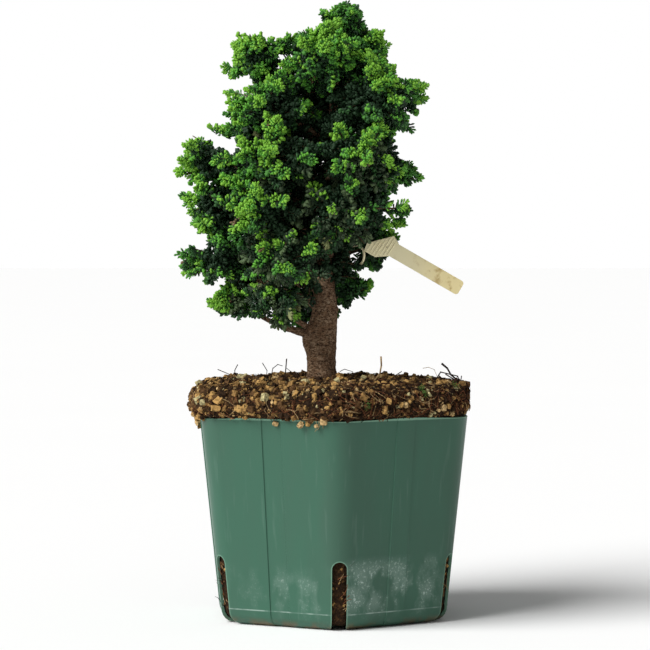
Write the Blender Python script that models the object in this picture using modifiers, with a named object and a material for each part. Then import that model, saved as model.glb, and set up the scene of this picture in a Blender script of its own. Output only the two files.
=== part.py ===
"""A potted dwarf hinoki cypress: one young conifer in a hexagonal nursery pot with slotted corners.

Metres, +Z up. The origin is the middle of the pot's flat underside. Front is -Y, and one corner of
the pot points almost that way. Directions round the trunk are in degrees: 0 is right (+X), 90 is the
back, 180 the left and 270 the front.
"""

import math
import random

import bmesh
import bpy
from mathutils import Matrix, Vector, noise
from mathutils.bvhtree import BVHTree

GAP = 0.0003  # between neighbouring pieces

# The pot is a thin moulded shell: a hexagon that tapers to a rounded foot.
POT_HEIGHT = 0.0845
POT_RIM = 0.0629  # from the middle to a sharp corner
POT_FOOT = 0.0528
POT_WALL = 0.0012
POT_TURN = -86.5  # direction of the near corner
RIM_CORNER_ROUND = 0.0140
FOOT_CORNER_ROUND = 0.0085
FOOT_EDGE_ROUND = 0.0060
CORNER_STEPS = 4
SLOT_WIDTH = 0.0060
SLOT_HEIGHT = 0.0280
SLOT_INNER_END = 0.0380  # from the middle to where a slot stops under the foot
SLOT_TOP_STEPS = 6

# The soil fills the pot and stands proud of the rim: a root ball with a loose mound on it.
# Its edge goes up in steps of height and distance from the middle to a sharp corner.
SOIL_EDGE = (
    (0.0850, 0.0632, 0.0),  # height, distance to a sharp corner, how much further out the right side goes
    (0.0880, 0.0655, 0.0),
    (0.0915, 0.0650, 0.0005),
    (0.0945, 0.0620, 0.0030),
    (0.0965, 0.0570, 0.0065),
)
SOIL_EDGE_ROUND = 0.0190
SOIL_SHIFT = (-0.0012, 0.0)
MOUND_RINGS = 6  # between the trunk's seat and the edge
MOUND_FALL = 3  # the power that the mound falls away with
SOIL_SIDE_SPOTS = (-0.5, 0.0, 0.5)  # more points along a side of the soil, as shares of half its flat
LUMP_HEIGHT = 0.0024  # the most that a lump or hollow stands off the even shape
LUMP_SIZE = 0.0072  # a lump and a hollow are about this wide
GROUND = 0.0982
TRUNK_SEAT = 0.0095  # radius of the flat that the trunk stands on

# The trunk, as stations from its flat foot to its tip: height, x, y, radius.
TRUNK = (
    (0.0985, -0.0040, 0.0000, 0.0061),
    (0.1050, -0.0041, 0.0000, 0.0060),
    (0.1120, -0.0038, 0.0001, 0.0062),
    (0.1230, -0.0029, 0.0003, 0.0056),
    (0.1315, -0.0026, 0.0004, 0.0050),
    (0.1400, -0.0030, 0.0004, 0.0044),
    (0.1550, -0.0024, 0.0000, 0.0040),
    (0.1750, -0.0008, -0.0006, 0.0034),
    (0.1950, 0.0008, -0.0004, 0.0029),
    (0.2150, 0.0016, 0.0004, 0.0022),
    (0.2370, 0.0030, 0.0000, 0.0013),
)
TRUNK_SIDES = 12
ROOT_FLARE = 0.0016
ROOT_FLARE_HEIGHT = 0.0035
ROOTS = 5

# Tiers of foliage: name, height, how much higher the right side is, distances of the masses from the
# trunk (left, right, front and back), half sizes of a mass (outwards, sideways, upwards), the share of
# those sizes on the right, and the directions that the masses stand in.
TIERS = (
    ("skirt", 0.1290, 0.0060, (0.0375, 0.013, 0.020), (0.0120, 0.0150, 0.0095), 0.75, (15, 100, 180, 236)),
    ("low", 0.1490, 0.0045, (0.0465, 0.019, 0.025), (0.0150, 0.0200, 0.0125), 0.70, (5, 75, 138, 186, 248)),
    ("waist", 0.1695, 0, (0.0460, 0.0185, 0.027), (0.0160, 0.02, 0.0130), 0.95, (0, 55, 115, 180, 232, 293)),
    ("middle", 0.1900, 0, (0.0485, 0.0215, 0.0275), (0.0170, 0.021, 0.0130), 1, (0, 60, 120, 180, 240, 302)),
    ("shoulder", 0.2110, 0.0040, (0.0325, 0.0230, 0.024), (0.0150, 0.0195, 0.013), 1, (0, 85, 150, 214, 318)),
    ("upper", 0.2330, 0, (0.0335, 0.0105, 0.016), (0.0145, 0.0150, 0.0125), 0.85, (5, 100, 180, 258)),
)
TOP_MASS = ((0.0038, 0.0, 0.2455), (0.0105, 0.0105, 0.0105))  # middle and half sizes

# Limbs: a bough carries a mass, and where the tree is young the mass's own stem reaches the trunk.
STEMS_FROM_TRUNK = ("shoulder", "upper")
SHORTEST_BOUGH = 0.0150
LIMB_RISE = 0.42  # how far below its mass a limb leaves the trunk, as a share of its reach
LIMB_STAGGER = 0.0028  # every other limb of a tier leaves the trunk this much higher
LOWEST_LIMB = 0.1130
LIMB_SAG = 0.10  # of its length, at this share of the way along
LIMB_BEND = 0.55
LIMB_ROOT = 0.0009  # radius at the trunk, and how much of its reach adds to that
LIMB_ROOT_GROWTH = 0.028
LIMB_ON_TRUNK = 0.8  # the most that a limb's root may be, as a share of the trunk there
LIMB_TIP = 0.0008
LIMB_POINTS = 6
LIMB_END = 0.80  # where a limb ends, as a share of the mass's size on that side

# Each mass: a core, a stem, twigs that branch from it, and toothed sprays on the twigs.
CORE_SIZE = 0.74
CORE_LUMPS = 0.12
CORE_RETREAT = 0.85  # how a point of the core is drawn in, step by step, off a limb
TWIGS = 6
TWIG_END = 0.64  # shares of the mass's size
TWIG_RADII = (0.0007, 0.0005)
TWIG_WANDER = 0.20
SPRAY_ROOT = 0.50
SPRAY_TEETH = 3
SPRAY_SPREAD = 40  # degrees from the middle tooth to an outer one
SIDE_TOOTH = 0.90  # shares of the spray's length
NOTCH = 0.60
SPRAY_BELLY = 0.48
SPRAY_THICKNESS = 0.18
SIDE_SPRAY_TURN = 50
TURN_WANDER = 10
SIDE_SPRAY_LENGTH = 0.80
SMALLER = (1.0, 0.82, 0.66)  # sizes that a spray is tried at
LIMB_CLEARANCE = 0.0006
EDGE_CLEARANCE = 0.00025

# The plastic name tag, blank: a ribbed head and a blade, held to a bough by a thin loop.
TAG_PLACE = (0.0136, -0.0085, 0.1518)  # lower left corner of the head
TAG_SLOPE = 30.0  # degrees that it points downwards
TAG_HEAD = ((-0.0006, 0.0035), (0.0, 0.0), (0.0052, 0.0001), (0.0101, 0.0034))
TAG_HEAD_TOP = ((0.0113, 0.0096), (0.0077, 0.0117))
TAG_BLADE = (0.0034, 0.0096, 0.0425)  # its lower and upper edge, and where it ends
TAG_CORNER = 0.0013
TAG_THICKNESS = 0.0006
LOOP_MIDDLE = (0.0106, -0.0028, 0.1500)
LOOP_TURN = 118
LOOP_SIZES = (0.0066, 0.0042)  # half its depth and height
LOOP_RADIUS = 0.0005
LOOP_POINTS = 20

POT_GREEN = ((0.085, 0.205, 0.140, 1), 0.42)
SOIL_BROWN = ((0.190, 0.105, 0.045, 1), 0.95)
BARK_BROWN = ((0.095, 0.060, 0.040, 1), 0.90)
NEEDLE_GREEN = ((0.045, 0.170, 0.030, 1), 0.65)
TAG_IVORY = ((0.640, 0.560, 0.350, 1), 0.50)


def new_collection(name):
    collection = bpy.data.collections.new(name)
    bpy.context.scene.collection.children.link(collection)
    return collection


def new_material(name, colour_and_roughness):
    colour, roughness = colour_and_roughness
    material = bpy.data.materials.new(name)
    material.use_nodes = True
    shader = material.node_tree.nodes["Principled BSDF"]
    shader.inputs["Base Color"].default_value = colour
    shader.inputs["Roughness"].default_value = roughness
    material.diffuse_color = colour
    return material


def new_object(name, mesh, collection, material=None):
    piece = bpy.data.objects.new(name, mesh)
    collection.objects.link(piece)
    if material:
        mesh.materials.append(material)
    return piece


def mesh_of(name, bm):
    mesh = bpy.data.meshes.new(name)
    bm.to_mesh(mesh)
    bm.free()
    return mesh


def hide_helper(helper):
    helper.hide_render = True
    helper.display_type = "WIRE"


def evaluated_mesh(piece):
    graph = bpy.context.evaluated_depsgraph_get()
    return bpy.data.meshes.new_from_object(piece.evaluated_get(graph))


def loft(name, rings, cap_top=True):
    """A mesh through rings of equally many points, each anticlockwise from above, top ring first."""
    bm = bmesh.new()
    levels = [[bm.verts.new(point) for point in ring] for ring in rings]
    count = len(rings[0])
    for upper, lower in zip(levels, levels[1:]):
        for k in range(count):
            after = (k + 1) % count
            bm.faces.new((upper[k], lower[k], lower[after], upper[after]))
    if cap_top:
        bm.faces.new(levels[0])
    bm.faces.new(levels[-1][::-1])
    return mesh_of(name, bm)


def tube(name, points, radii, resolution, closed=False):
    """A mesh made from a bevelled curve, with its ends welded shut."""
    curve = bpy.data.curves.new(name, "CURVE")
    curve.dimensions = "3D"
    curve.bevel_depth = 1.0
    curve.bevel_resolution = resolution
    curve.use_fill_caps = True
    line = curve.splines.new("POLY")
    line.points.add(len(points) - 1)
    line.use_cyclic_u = closed
    for spot, point, radius in zip(line.points, points, radii):
        spot.co = (*point, 1.0)
        spot.radius = radius
    guide = bpy.data.objects.new(name, curve)
    bpy.context.scene.collection.objects.link(guide)
    bpy.context.view_layer.update()
    mesh = evaluated_mesh(guide)
    bpy.data.objects.remove(guide)
    bm = bmesh.new()
    bm.from_mesh(mesh)
    bmesh.ops.remove_doubles(bm, verts=bm.verts, dist=1e-6)
    bmesh.ops.recalc_face_normals(bm, faces=bm.faces)
    bm.to_mesh(mesh)
    bm.free()
    return mesh


def hexagon(corner, corner_round, height, shift=(0.0, 0.0), side_spots=()):
    """A ring of points: a hexagon with rounded corners, and more points along its sides if asked for."""
    arc_middle = corner - corner_round / math.cos(math.radians(30))
    ring = []
    for side in range(6):
        aim = math.radians(POT_TURN + 60 * side)
        for step in range(CORNER_STEPS + 1):
            swing = aim + math.radians(60 * step / CORNER_STEPS - 30)
            x = shift[0] + arc_middle * math.cos(aim) + corner_round * math.cos(swing)
            y = shift[1] + arc_middle * math.sin(aim) + corner_round * math.sin(swing)
            ring.append(Vector((x, y, height)))
        facing = aim + math.radians(30)
        outwards = Vector((math.cos(facing), math.sin(facing), 0.0))
        along = Vector((-outwards.y, outwards.x, 0.0))
        flat = outwards * (arc_middle * math.cos(math.radians(30)) + corner_round)
        for spot in side_spots:
            ring.append(flat + along * spot * arc_middle / 2 + Vector((*shift, height)))
    return ring


def pot_rings(inset, top, side_spots=()):
    """Rings down the pot's wall and round its foot edge, moved inwards by inset."""
    slant = (POT_RIM - POT_FOOT) / POT_HEIGHT
    round_growth = (RIM_CORNER_ROUND - FOOT_CORNER_ROUND) / POT_HEIGHT
    across = 1 / math.cos(math.radians(30))
    corner = POT_FOOT + slant * top - inset * across
    rings = [hexagon(corner, RIM_CORNER_ROUND - inset, top, side_spots=side_spots)]
    edge_corner = POT_FOOT + slant * FOOT_EDGE_ROUND
    edge_round = FOOT_CORNER_ROUND + round_growth * FOOT_EDGE_ROUND
    bend = FOOT_EDGE_ROUND - inset
    for turn in (0, 45, 90):
        inwards = inset + bend * (1 - math.cos(math.radians(turn)))
        height = FOOT_EDGE_ROUND - bend * math.sin(math.radians(turn))
        corner = edge_corner - inwards * across
        rings.append(hexagon(corner, edge_round - inwards, height, side_spots=side_spots))
    return rings


def add_slot_cutter(number, collection):
    """A round-topped slot shape that runs from under the foot out through a corner."""
    half = SLOT_WIDTH / 2
    outline = [(-half, -0.002), (half, -0.002)]
    for step in range(SLOT_TOP_STEPS + 1):
        turn = math.pi * step / SLOT_TOP_STEPS
        outline.append((half * math.cos(turn), SLOT_HEIGHT - half + half * math.sin(turn)))
    bm = bmesh.new()
    face = bm.faces.new([bm.verts.new((SLOT_INNER_END, side, height)) for side, height in outline])
    pushed = bmesh.ops.extrude_face_region(bm, geom=[face])["geom"]
    moved = [part for part in pushed if isinstance(part, bmesh.types.BMVert)]
    bmesh.ops.translate(bm, vec=(POT_RIM - SLOT_INNER_END, 0, 0), verts=moved)
    bmesh.ops.recalc_face_normals(bm, faces=bm.faces)
    name = f"slot_cutter_{number + 1}"
    cutter = new_object(name, mesh_of(name, bm), collection)
    cutter.rotation_euler.z = math.radians(POT_TURN + 60 * number)
    hide_helper(cutter)


def build_pot(collection, material):
    cutters = new_collection("Slot cutters")
    for number in range(6):
        add_slot_cutter(number, cutters)
    pot = new_object("pot", loft("pot", pot_rings(0.0, POT_HEIGHT), cap_top=False), collection, material)
    shell = pot.modifiers.new("wall", "SOLIDIFY")
    shell.thickness = POT_WALL
    shell.offset = -1
    shell.use_even_offset = True
    slots = pot.modifiers.new("slots", "BOOLEAN")
    slots.operand_type = "COLLECTION"
    slots.collection = cutters
    slots.operation = "DIFFERENCE"


def lump(point):
    """How far the soil stands off its even shape at a place."""
    return LUMP_HEIGHT * noise.noise(point / LUMP_SIZE)


def edge_ring(height, corner, further):
    """The outline of the soil above the rim at a height."""
    ring = hexagon(corner, SOIL_EDGE_ROUND, height, SOIL_SHIFT, SOIL_SIDE_SPOTS)
    for point in ring:
        point.x += further * max(point.x / corner, 0.0)
    return ring


def build_soil(collection, material):
    edge = [edge_ring(*level) for level in reversed(SOIL_EDGE)]
    foot = Vector((TRUNK[0][1], TRUNK[0][2], GROUND))
    seat = []
    for point in edge[0]:
        outwards = Vector((point.x - foot.x, point.y - foot.y, 0.0)).normalized()
        seat.append(foot + outwards * TRUNK_SEAT)
    mound = []
    for number in range(1, MOUND_RINGS + 1):
        share = number / (MOUND_RINGS + 1)
        ring = [near.lerp(far, share) for near, far in zip(seat, edge[0])]
        for point in ring:
            point.z = GROUND + (SOIL_EDGE[-1][0] - GROUND) * share**MOUND_FALL
            point.z += lump(point) * min(number / 2, 1)
        mound.append(ring)
    for ring in edge[:-1]:
        for point in ring:
            push = Vector((point.x, point.y, 0.0)).normalized() + Vector((0.0, 0.0, 0.5))
            point += push * lump(point)
    inside = pot_rings(POT_WALL + GAP, POT_HEIGHT + GAP, SOIL_SIDE_SPOTS)
    new_object("soil", loft("soil", [seat] + mound + edge + inside), collection, material)


def on_trunk(height):
    """The trunk's middle and its radius at a height."""
    for low, high in zip(TRUNK, TRUNK[1:]):
        if height <= high[0]:
            break
    share = min((height - low[0]) / (high[0] - low[0]), 1)
    x, y, radius = (a + (b - a) * share for a, b in zip(low[1:], high[1:]))
    return Vector((x, y, height)), radius


def trunk_mesh(name, swell=0.0):
    """The trunk, with its skin moved outwards by swell."""
    rings = []
    for height, x, y, radius in reversed(TRUNK):
        flare = ROOT_FLARE * math.exp((TRUNK[0][0] - height) / ROOT_FLARE_HEIGHT)
        ring = []
        for side in range(TRUNK_SIDES):
            turn = math.tau * side / TRUNK_SIDES
            reach = radius + flare * (0.5 + 0.5 * math.cos(ROOTS * turn)) + swell
            ring.append(Vector((x + reach * math.cos(turn), y + reach * math.sin(turn), height)))
        rings.append(ring)
    for point in rings[0]:
        point.z += swell
    return loft(name, rings)


class Mass:
    """The space of one mass of foliage: an ellipsoid that faces away from the trunk."""

    def __init__(self, tier, number, direction, centre, sizes):
        self.tier = tier
        self.name = f"{tier}_{number}" if number else tier
        self.centre = centre
        self.sizes = sizes
        turn = math.radians(direction)
        outwards = Vector((math.cos(turn), math.sin(turn), 0.0))
        self.axes = (outwards, Vector((-outwards.y, outwards.x, 0.0)), Vector((0.0, 0.0, 1.0)))
        self.borders = []
        self.number = number

    def reach(self, aim):
        """How far the space goes from its centre along a unit vector."""
        return 1 / math.sqrt(sum((aim.dot(axis) / size) ** 2 for axis, size in zip(self.axes, self.sizes)))

    def room(self, aim):
        """The reach, cut short where it meets a border with another mass."""
        rooms = [self.reach(aim)]
        for across, limit in self.borders:
            if aim.dot(across) > 1e-6:
                rooms.append((limit - EDGE_CLEARANCE) / aim.dot(across))
        return min(rooms)

    def holds(self, point):
        away = point - self.centre
        return away.length <= self.room(away.normalized()) * 1.0001


def place_masses():
    masses = []
    for tier, height, right_rise, reaches, sizes, right_share, directions in TIERS:
        left, right, depth = reaches
        for number, direction in enumerate(directions, 1):
            across = math.cos(math.radians(direction))
            centre, _ = on_trunk(height)
            centre.x += across * (right if across > 0 else left)
            centre.y += math.sin(math.radians(direction)) * depth
            centre.z += right_rise * max(across, 0)
            share = 1 - (1 - right_share) * max(across, 0)
            masses.append(Mass(tier, number, direction, centre, [size * share for size in sizes]))
    masses.append(Mass("top", 0, 0, Vector(TOP_MASS[0]), TOP_MASS[1]))
    for mass in masses:
        set_borders(mass, masses)
        route_limb(mass)
    return masses


def set_borders(mass, masses):
    """A plane between each two masses, nearer to the smaller one."""
    for other in masses:
        if other is mass:
            continue
        between = other.centre - mass.centre
        aim = between.normalized()
        share = mass.reach(aim) / (mass.reach(aim) + other.reach(-aim))
        mass.borders.append((aim, between.length * share))


def curve_points(start, bend, end, count):
    """Points on a curve that leaves start towards bend and comes to end from it."""
    shares = [k / (count - 1) for k in range(count)]
    return [start * (1 - t) ** 2 + bend * (2 * t * (1 - t)) + end * t**2 for t in shares]


def route_limb(mass):
    """The limb from the trunk to the mass, and where the mass's stem goes on from it."""
    if mass.tier == "top":
        mass.has_bough = False
        mass.limb = []
        mass.aim = Vector((0, 0, 1))
        mass.stem_start, _ = on_trunk(TRUNK[-1][0])
        mass.stem_start.z += GAP
        return
    axis, _ = on_trunk(mass.centre.z)
    reach = (mass.centre - axis).length
    mass.has_bough = reach > SHORTEST_BOUGH and mass.tier not in STEMS_FROM_TRUNK
    leaving = mass.centre.z - LIMB_RISE * reach + LIMB_STAGGER * (mass.number % 2)
    start, radius = on_trunk(max(leaving, LOWEST_LIMB))
    towards = (mass.centre - start).normalized()
    end = mass.centre - towards * mass.reach(towards) * LIMB_END
    bend = start.lerp(end, LIMB_BEND) - Vector((0, 0, LIMB_SAG * (end - start).length))
    root = min(LIMB_ROOT + LIMB_ROOT_GROWTH * reach, radius * LIMB_ON_TRUNK)
    points = curve_points(start, bend, end, LIMB_POINTS)
    radii = [root + (LIMB_TIP - root) * k / (LIMB_POINTS - 1) for k in range(LIMB_POINTS)]
    mass.limb = list(zip(points, radii))
    mass.aim = (end - bend).normalized()
    mass.stem_start = end + mass.aim * (GAP if mass.has_bough else 0.0)


def build_boughs(collection, material, masses, trunk_clearance):
    for mass in masses:
        if mass.has_bough:
            name = f"bough_{mass.name}"
            bough = new_object(name, tube(name, *zip(*mass.limb), 1), collection, material)
            keep_clear(bough, trunk_clearance)


def keep_clear(piece, clearance):
    """Cuts the piece back from a neighbour by a swollen copy of that neighbour."""
    cut = piece.modifiers.new("clearance", "BOOLEAN")
    cut.operation = "DIFFERENCE"
    cut.object = clearance


def tree_of(mesh):
    """A search tree of a mesh's faces. The mesh itself is not kept."""
    points = [vertex.co.copy() for vertex in mesh.vertices]
    faces = [tuple(face.vertices) for face in mesh.polygons]
    bpy.data.meshes.remove(mesh)
    return BVHTree.FromPolygons(points, faces)


def limb_shields(masses):
    """Search trees of everything that foliage keeps off, a little swollen."""
    shields = {"trunk": tree_of(trunk_mesh("trunk_shield", LIMB_CLEARANCE))}
    for mass in masses:
        if mass.limb:
            points, radii = zip(*mass.limb)
            swollen = [radius + LIMB_CLEARANCE for radius in radii]
            shields[mass.name] = tree_of(tube("limb_shield", points, swollen, 1))
    shields["tag"] = tree_of(tag_plate("tag_shield", LIMB_CLEARANCE))
    shields["loop"] = tree_of(tag_loop("loop_shield", LIMB_CLEARANCE))
    return shields


def is_outside(tree, point):
    """True if the first face straight above the point is met from outside, or there is none."""
    place, normal, _, _ = tree.ray_cast(point, Vector((0, 0, 1)))
    return place is None or normal.z < 0


def fits(mass, mesh, shields):
    """True if a piece stays in its mass's space and off every limb."""
    if not all(mass.holds(vertex.co) for vertex in mesh.vertices):
        return False
    points = [vertex.co.copy() for vertex in mesh.vertices]
    piece = BVHTree.FromPolygons(points, [tuple(face.vertices) for face in mesh.polygons])
    for shield in shields.values():
        if shield.overlap(piece) or not is_outside(shield, points[0]):
            return False
    return True


def core_mesh(mass, rng, shields):
    """An uneven ball inside the mass, its points drawn in off borders and limbs."""
    bm = bmesh.new()
    bmesh.ops.create_icosphere(bm, subdivisions=1, radius=1.0)
    for vertex in bm.verts:
        aim = vertex.co.normalized()
        share = CORE_SIZE * (1 + rng.uniform(-CORE_LUMPS, CORE_LUMPS))
        away = aim * mass.room(aim)
        while not all(is_outside(tree, mass.centre + away * share) for tree in shields.values()):
            share *= CORE_RETREAT
        vertex.co = mass.centre + away * share
    return mesh_of("core", bm)


def twig_mesh(start, end):
    along = end - start
    turned = along.to_track_quat("Z", "X").to_matrix().to_4x4()
    bm = bmesh.new()
    bmesh.ops.create_cone(
        bm,
        cap_ends=True,
        segments=3,
        radius1=TWIG_RADII[0],
        radius2=TWIG_RADII[1],
        depth=along.length,
        matrix=Matrix.Translation((start + end) / 2) @ turned,
    )
    return mesh_of("twig", bm)


def spray_outline():
    """The toothed edge of a spray one unit long, from its root at the origin, in the XY plane."""
    outline = [(0.0, 0.0)]
    for k in range(2 * SPRAY_TEETH - 1):
        tooth = k - (SPRAY_TEETH - 1)
        turn = math.radians(SPRAY_SPREAD * tooth / (SPRAY_TEETH - 1))
        reach = NOTCH if k % 2 else 1 - (1 - SIDE_TOOTH) * abs(tooth) / (SPRAY_TEETH - 1)
        outline.append((reach * math.cos(turn), reach * math.sin(turn)))
    return outline


def spray_mesh(root, tip, up):
    """A toothed fan from root to tip, thick in its middle with sharp edges."""
    along = (tip - root).normalized()
    side = up.cross(along).normalized()
    placed = Matrix((along, side, along.cross(side))).transposed() * (tip - root).length
    bm = bmesh.new()
    edge = [bm.verts.new(placed @ Vector((x, y, 0.0)) + root) for x, y in spray_outline()]
    apex = bm.verts.new(placed @ Vector((SPRAY_BELLY, 0.0, SPRAY_THICKNESS)) + root)
    for here, after in zip(edge, edge[1:] + edge[:1]):
        bm.faces.new((here, after, apex))
    bm.faces.new(edge[::-1])
    return mesh_of("spray", bm)


def grow_sprays(mass, rng, shields, pieces):
    """Twigs spread evenly round the stem's end, each with a spray at its tip and one at its side."""
    golden = math.pi * (3 - math.sqrt(5))
    first = rng.uniform(0, math.tau)
    for k in range(TWIGS):
        height = 1 - 2 * (k + 0.5) / TWIGS
        ring = math.sqrt(1 - height**2)
        turn = first + golden * k
        aim = Vector((ring * math.cos(turn), ring * math.sin(turn), height))
        aim += Vector([rng.uniform(-TWIG_WANDER, TWIG_WANDER) for _ in range(3)])
        aim.normalize()
        twig = twig_mesh(mass.centre, mass.centre + aim * mass.room(aim) * TWIG_END)
        if not fits(mass, twig, shields):
            bpy.data.meshes.remove(twig)
            continue
        pieces.append(twig)
        up = Matrix.Rotation(rng.uniform(0, math.pi), 3, aim) @ aim.orthogonal().normalized()
        for swing in (0, SIDE_SPRAY_TURN if k % 2 else -SIDE_SPRAY_TURN):
            swing_now = math.radians(swing + rng.uniform(-TURN_WANDER, TURN_WANDER))
            way = Matrix.Rotation(swing_now, 3, up) @ aim
            add_spray(mass, aim, way, up, SIDE_SPRAY_LENGTH if swing else 1.0, shields, pieces)


def add_spray(mass, aim, way, up, length, shields, pieces):
    root = mass.centre + aim * mass.room(aim) * SPRAY_ROOT
    edge = mass.centre + way * mass.room(way)
    for size in SMALLER:
        spray = spray_mesh(root, root.lerp(edge, size * length), up)
        if fits(mass, spray, shields):
            pieces.append(spray)
            return
        bpy.data.meshes.remove(spray)


def stem_mesh(mass):
    """From the limb into the middle of the mass. Without a bough it starts inside the trunk."""
    inwards = mass.stem_start.lerp(mass.centre, 0.5)
    points = [mass.stem_start, inwards, mass.centre]
    radii = [LIMB_TIP, LIMB_TIP, TWIG_RADII[0]]
    if mass.limb and not mass.has_bough:
        limb_points, limb_radii = zip(*mass.limb)
        points = list(limb_points) + points[1:]
        radii = list(limb_radii) + radii[1:]
    return tube("stem", points, radii, 0)


def build_foliage(collection, material, masses, shields, trunk_clearance):
    for seed, mass in enumerate(masses, 1):
        rng = random.Random(seed)
        others = {name: tree for name, tree in shields.items() if name != mass.name}
        pieces = [stem_mesh(mass)]
        grow_sprays(mass, rng, shields, pieces)
        name = f"foliage_{mass.name}"
        body = new_object(name, core_mesh(mass, rng, others), collection)
        fuse(body, pieces)
        body.data.materials.append(material)
        if mass.limb and not mass.has_bough:
            keep_clear(body, trunk_clearance)


def fuse(body, pieces):
    """Joins the pieces to the body with one Boolean and keeps the largest closed shell of the result."""
    operands = new_collection("Pieces")
    for mesh in pieces:
        new_object("piece", mesh, operands)
    union = body.modifiers.new("union", "BOOLEAN")
    union.operation = "UNION"
    union.operand_type = "COLLECTION"
    union.collection = operands
    union.solver = "MANIFOLD"
    bpy.context.view_layer.update()
    fused = evaluated_mesh(body)
    body.modifiers.clear()
    for piece in list(operands.objects):
        bpy.data.objects.remove(piece)
    bpy.data.collections.remove(operands)
    fused.materials.clear()
    keep_largest_shell(fused)
    body.data = fused


def keep_largest_shell(mesh):
    bm = bmesh.new()
    bm.from_mesh(mesh)
    left = set(bm.verts)
    shells = []
    while left:
        shell = set()
        edge = [left.pop()]
        while edge:
            vertex = edge.pop()
            shell.add(vertex)
            for link in vertex.link_edges:
                other = link.other_vert(vertex)
                if other in left:
                    left.remove(other)
                    edge.append(other)
        shells.append(shell)
    shells.sort(key=len)
    scraps = [vertex for shell in shells[:-1] for vertex in shell]
    bmesh.ops.delete(bm, geom=scraps, context="VERTS")
    bm.to_mesh(mesh)
    bm.free()


def tag_place():
    return Matrix.Translation(TAG_PLACE) @ Matrix.Rotation(math.radians(TAG_SLOPE), 4, "Y")


def tag_plate(name, swell=0.0):
    """The tag's flat outline, pushed out to its thickness, with round corners on the blade's end."""
    lower, upper, end = TAG_BLADE
    outline = list(TAG_HEAD)
    for height, turns in ((lower + TAG_CORNER, (-90, -45, 0)), (upper - TAG_CORNER, (0, 45, 90))):
        for swing in (math.radians(turn) for turn in turns):
            across = end - TAG_CORNER + TAG_CORNER * math.cos(swing)
            outline.append((across, height + TAG_CORNER * math.sin(swing)))
    outline += TAG_HEAD_TOP
    middle = Vector((end / 2, (lower + upper) / 2))
    half = TAG_THICKNESS / 2 + swell
    bm = bmesh.new()
    corners = []
    for spot in outline:
        away = (Vector(spot) - middle).normalized() * swell
        corners.append(bm.verts.new((spot[0] + away.x, -half, spot[1] + away.y)))
    face = bm.faces.new(corners)
    pushed = bmesh.ops.extrude_face_region(bm, geom=[face])["geom"]
    moved = [part for part in pushed if isinstance(part, bmesh.types.BMVert)]
    bmesh.ops.translate(bm, vec=(0, 2 * half, 0), verts=moved)
    bmesh.ops.recalc_face_normals(bm, faces=bm.faces)
    bmesh.ops.transform(bm, matrix=tag_place(), verts=bm.verts)
    return mesh_of(name, bm)


def tag_loop(name, swell=0.0):
    """The thin loop that goes round a bough and through the tag's head."""
    turn = math.radians(LOOP_TURN)
    points = []
    for k in range(LOOP_POINTS):
        swing = math.tau * k / LOOP_POINTS
        along = Vector((math.cos(turn), math.sin(turn), 0.0)) * LOOP_SIZES[0] * math.cos(swing)
        points.append(Vector(LOOP_MIDDLE) + along + Vector((0, 0, LOOP_SIZES[1] * math.sin(swing))))
    return tube(name, points, [LOOP_RADIUS + swell] * LOOP_POINTS, 0, closed=True)


def build_tag(collection, material):
    label = new_object("label", tag_plate("label"), collection)
    fuse(label, [tag_loop("loop")])
    label.data.materials.append(material)


def build():
    for old in list(bpy.data.objects):
        bpy.data.objects.remove(old)
    collection = new_collection("Potted conifer")
    helpers = new_collection("Clearances")
    trunk_clearance = new_object("trunk_clearance", trunk_mesh("trunk_clearance", GAP), helpers)
    hide_helper(trunk_clearance)
    build_pot(collection, new_material("pot green", POT_GREEN))
    build_soil(collection, new_material("soil", SOIL_BROWN))
    bark = new_material("bark", BARK_BROWN)
    new_object("trunk", trunk_mesh("trunk"), collection, bark)
    masses = place_masses()
    build_boughs(collection, bark, masses, trunk_clearance)
    needles = new_material("needles", NEEDLE_GREEN)
    build_foliage(collection, needles, masses, limb_shields(masses), trunk_clearance)
    build_tag(collection, new_material("tag ivory", TAG_IVORY))


build()
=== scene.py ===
"""The looks of a potted dwarf hinoki cypress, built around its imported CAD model. Metres, +Z up."""

import math
import random
from itertools import accumulate

import bmesh
import bpy
import numpy as np
from mathutils import Matrix, Vector, noise
from mathutils.bvhtree import BVHTree


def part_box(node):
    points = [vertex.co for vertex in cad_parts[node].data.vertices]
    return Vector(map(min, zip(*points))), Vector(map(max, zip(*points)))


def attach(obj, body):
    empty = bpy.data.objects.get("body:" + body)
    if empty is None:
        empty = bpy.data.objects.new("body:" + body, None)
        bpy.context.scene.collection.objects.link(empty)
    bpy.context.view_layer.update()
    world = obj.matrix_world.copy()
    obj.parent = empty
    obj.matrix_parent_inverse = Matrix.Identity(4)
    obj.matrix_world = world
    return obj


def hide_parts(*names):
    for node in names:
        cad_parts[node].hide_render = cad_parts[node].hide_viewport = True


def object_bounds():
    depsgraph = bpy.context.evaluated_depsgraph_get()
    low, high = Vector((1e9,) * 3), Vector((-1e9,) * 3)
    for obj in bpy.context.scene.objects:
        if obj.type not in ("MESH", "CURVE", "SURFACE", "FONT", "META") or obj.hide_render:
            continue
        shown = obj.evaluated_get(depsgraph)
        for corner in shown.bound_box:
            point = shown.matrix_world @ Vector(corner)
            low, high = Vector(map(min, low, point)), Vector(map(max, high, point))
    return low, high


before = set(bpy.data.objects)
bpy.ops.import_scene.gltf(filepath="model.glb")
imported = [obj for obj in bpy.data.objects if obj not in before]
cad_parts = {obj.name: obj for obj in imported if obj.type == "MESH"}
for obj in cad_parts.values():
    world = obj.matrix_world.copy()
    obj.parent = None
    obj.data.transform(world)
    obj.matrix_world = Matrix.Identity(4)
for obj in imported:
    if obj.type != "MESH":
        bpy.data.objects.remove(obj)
cad_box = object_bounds()

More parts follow.
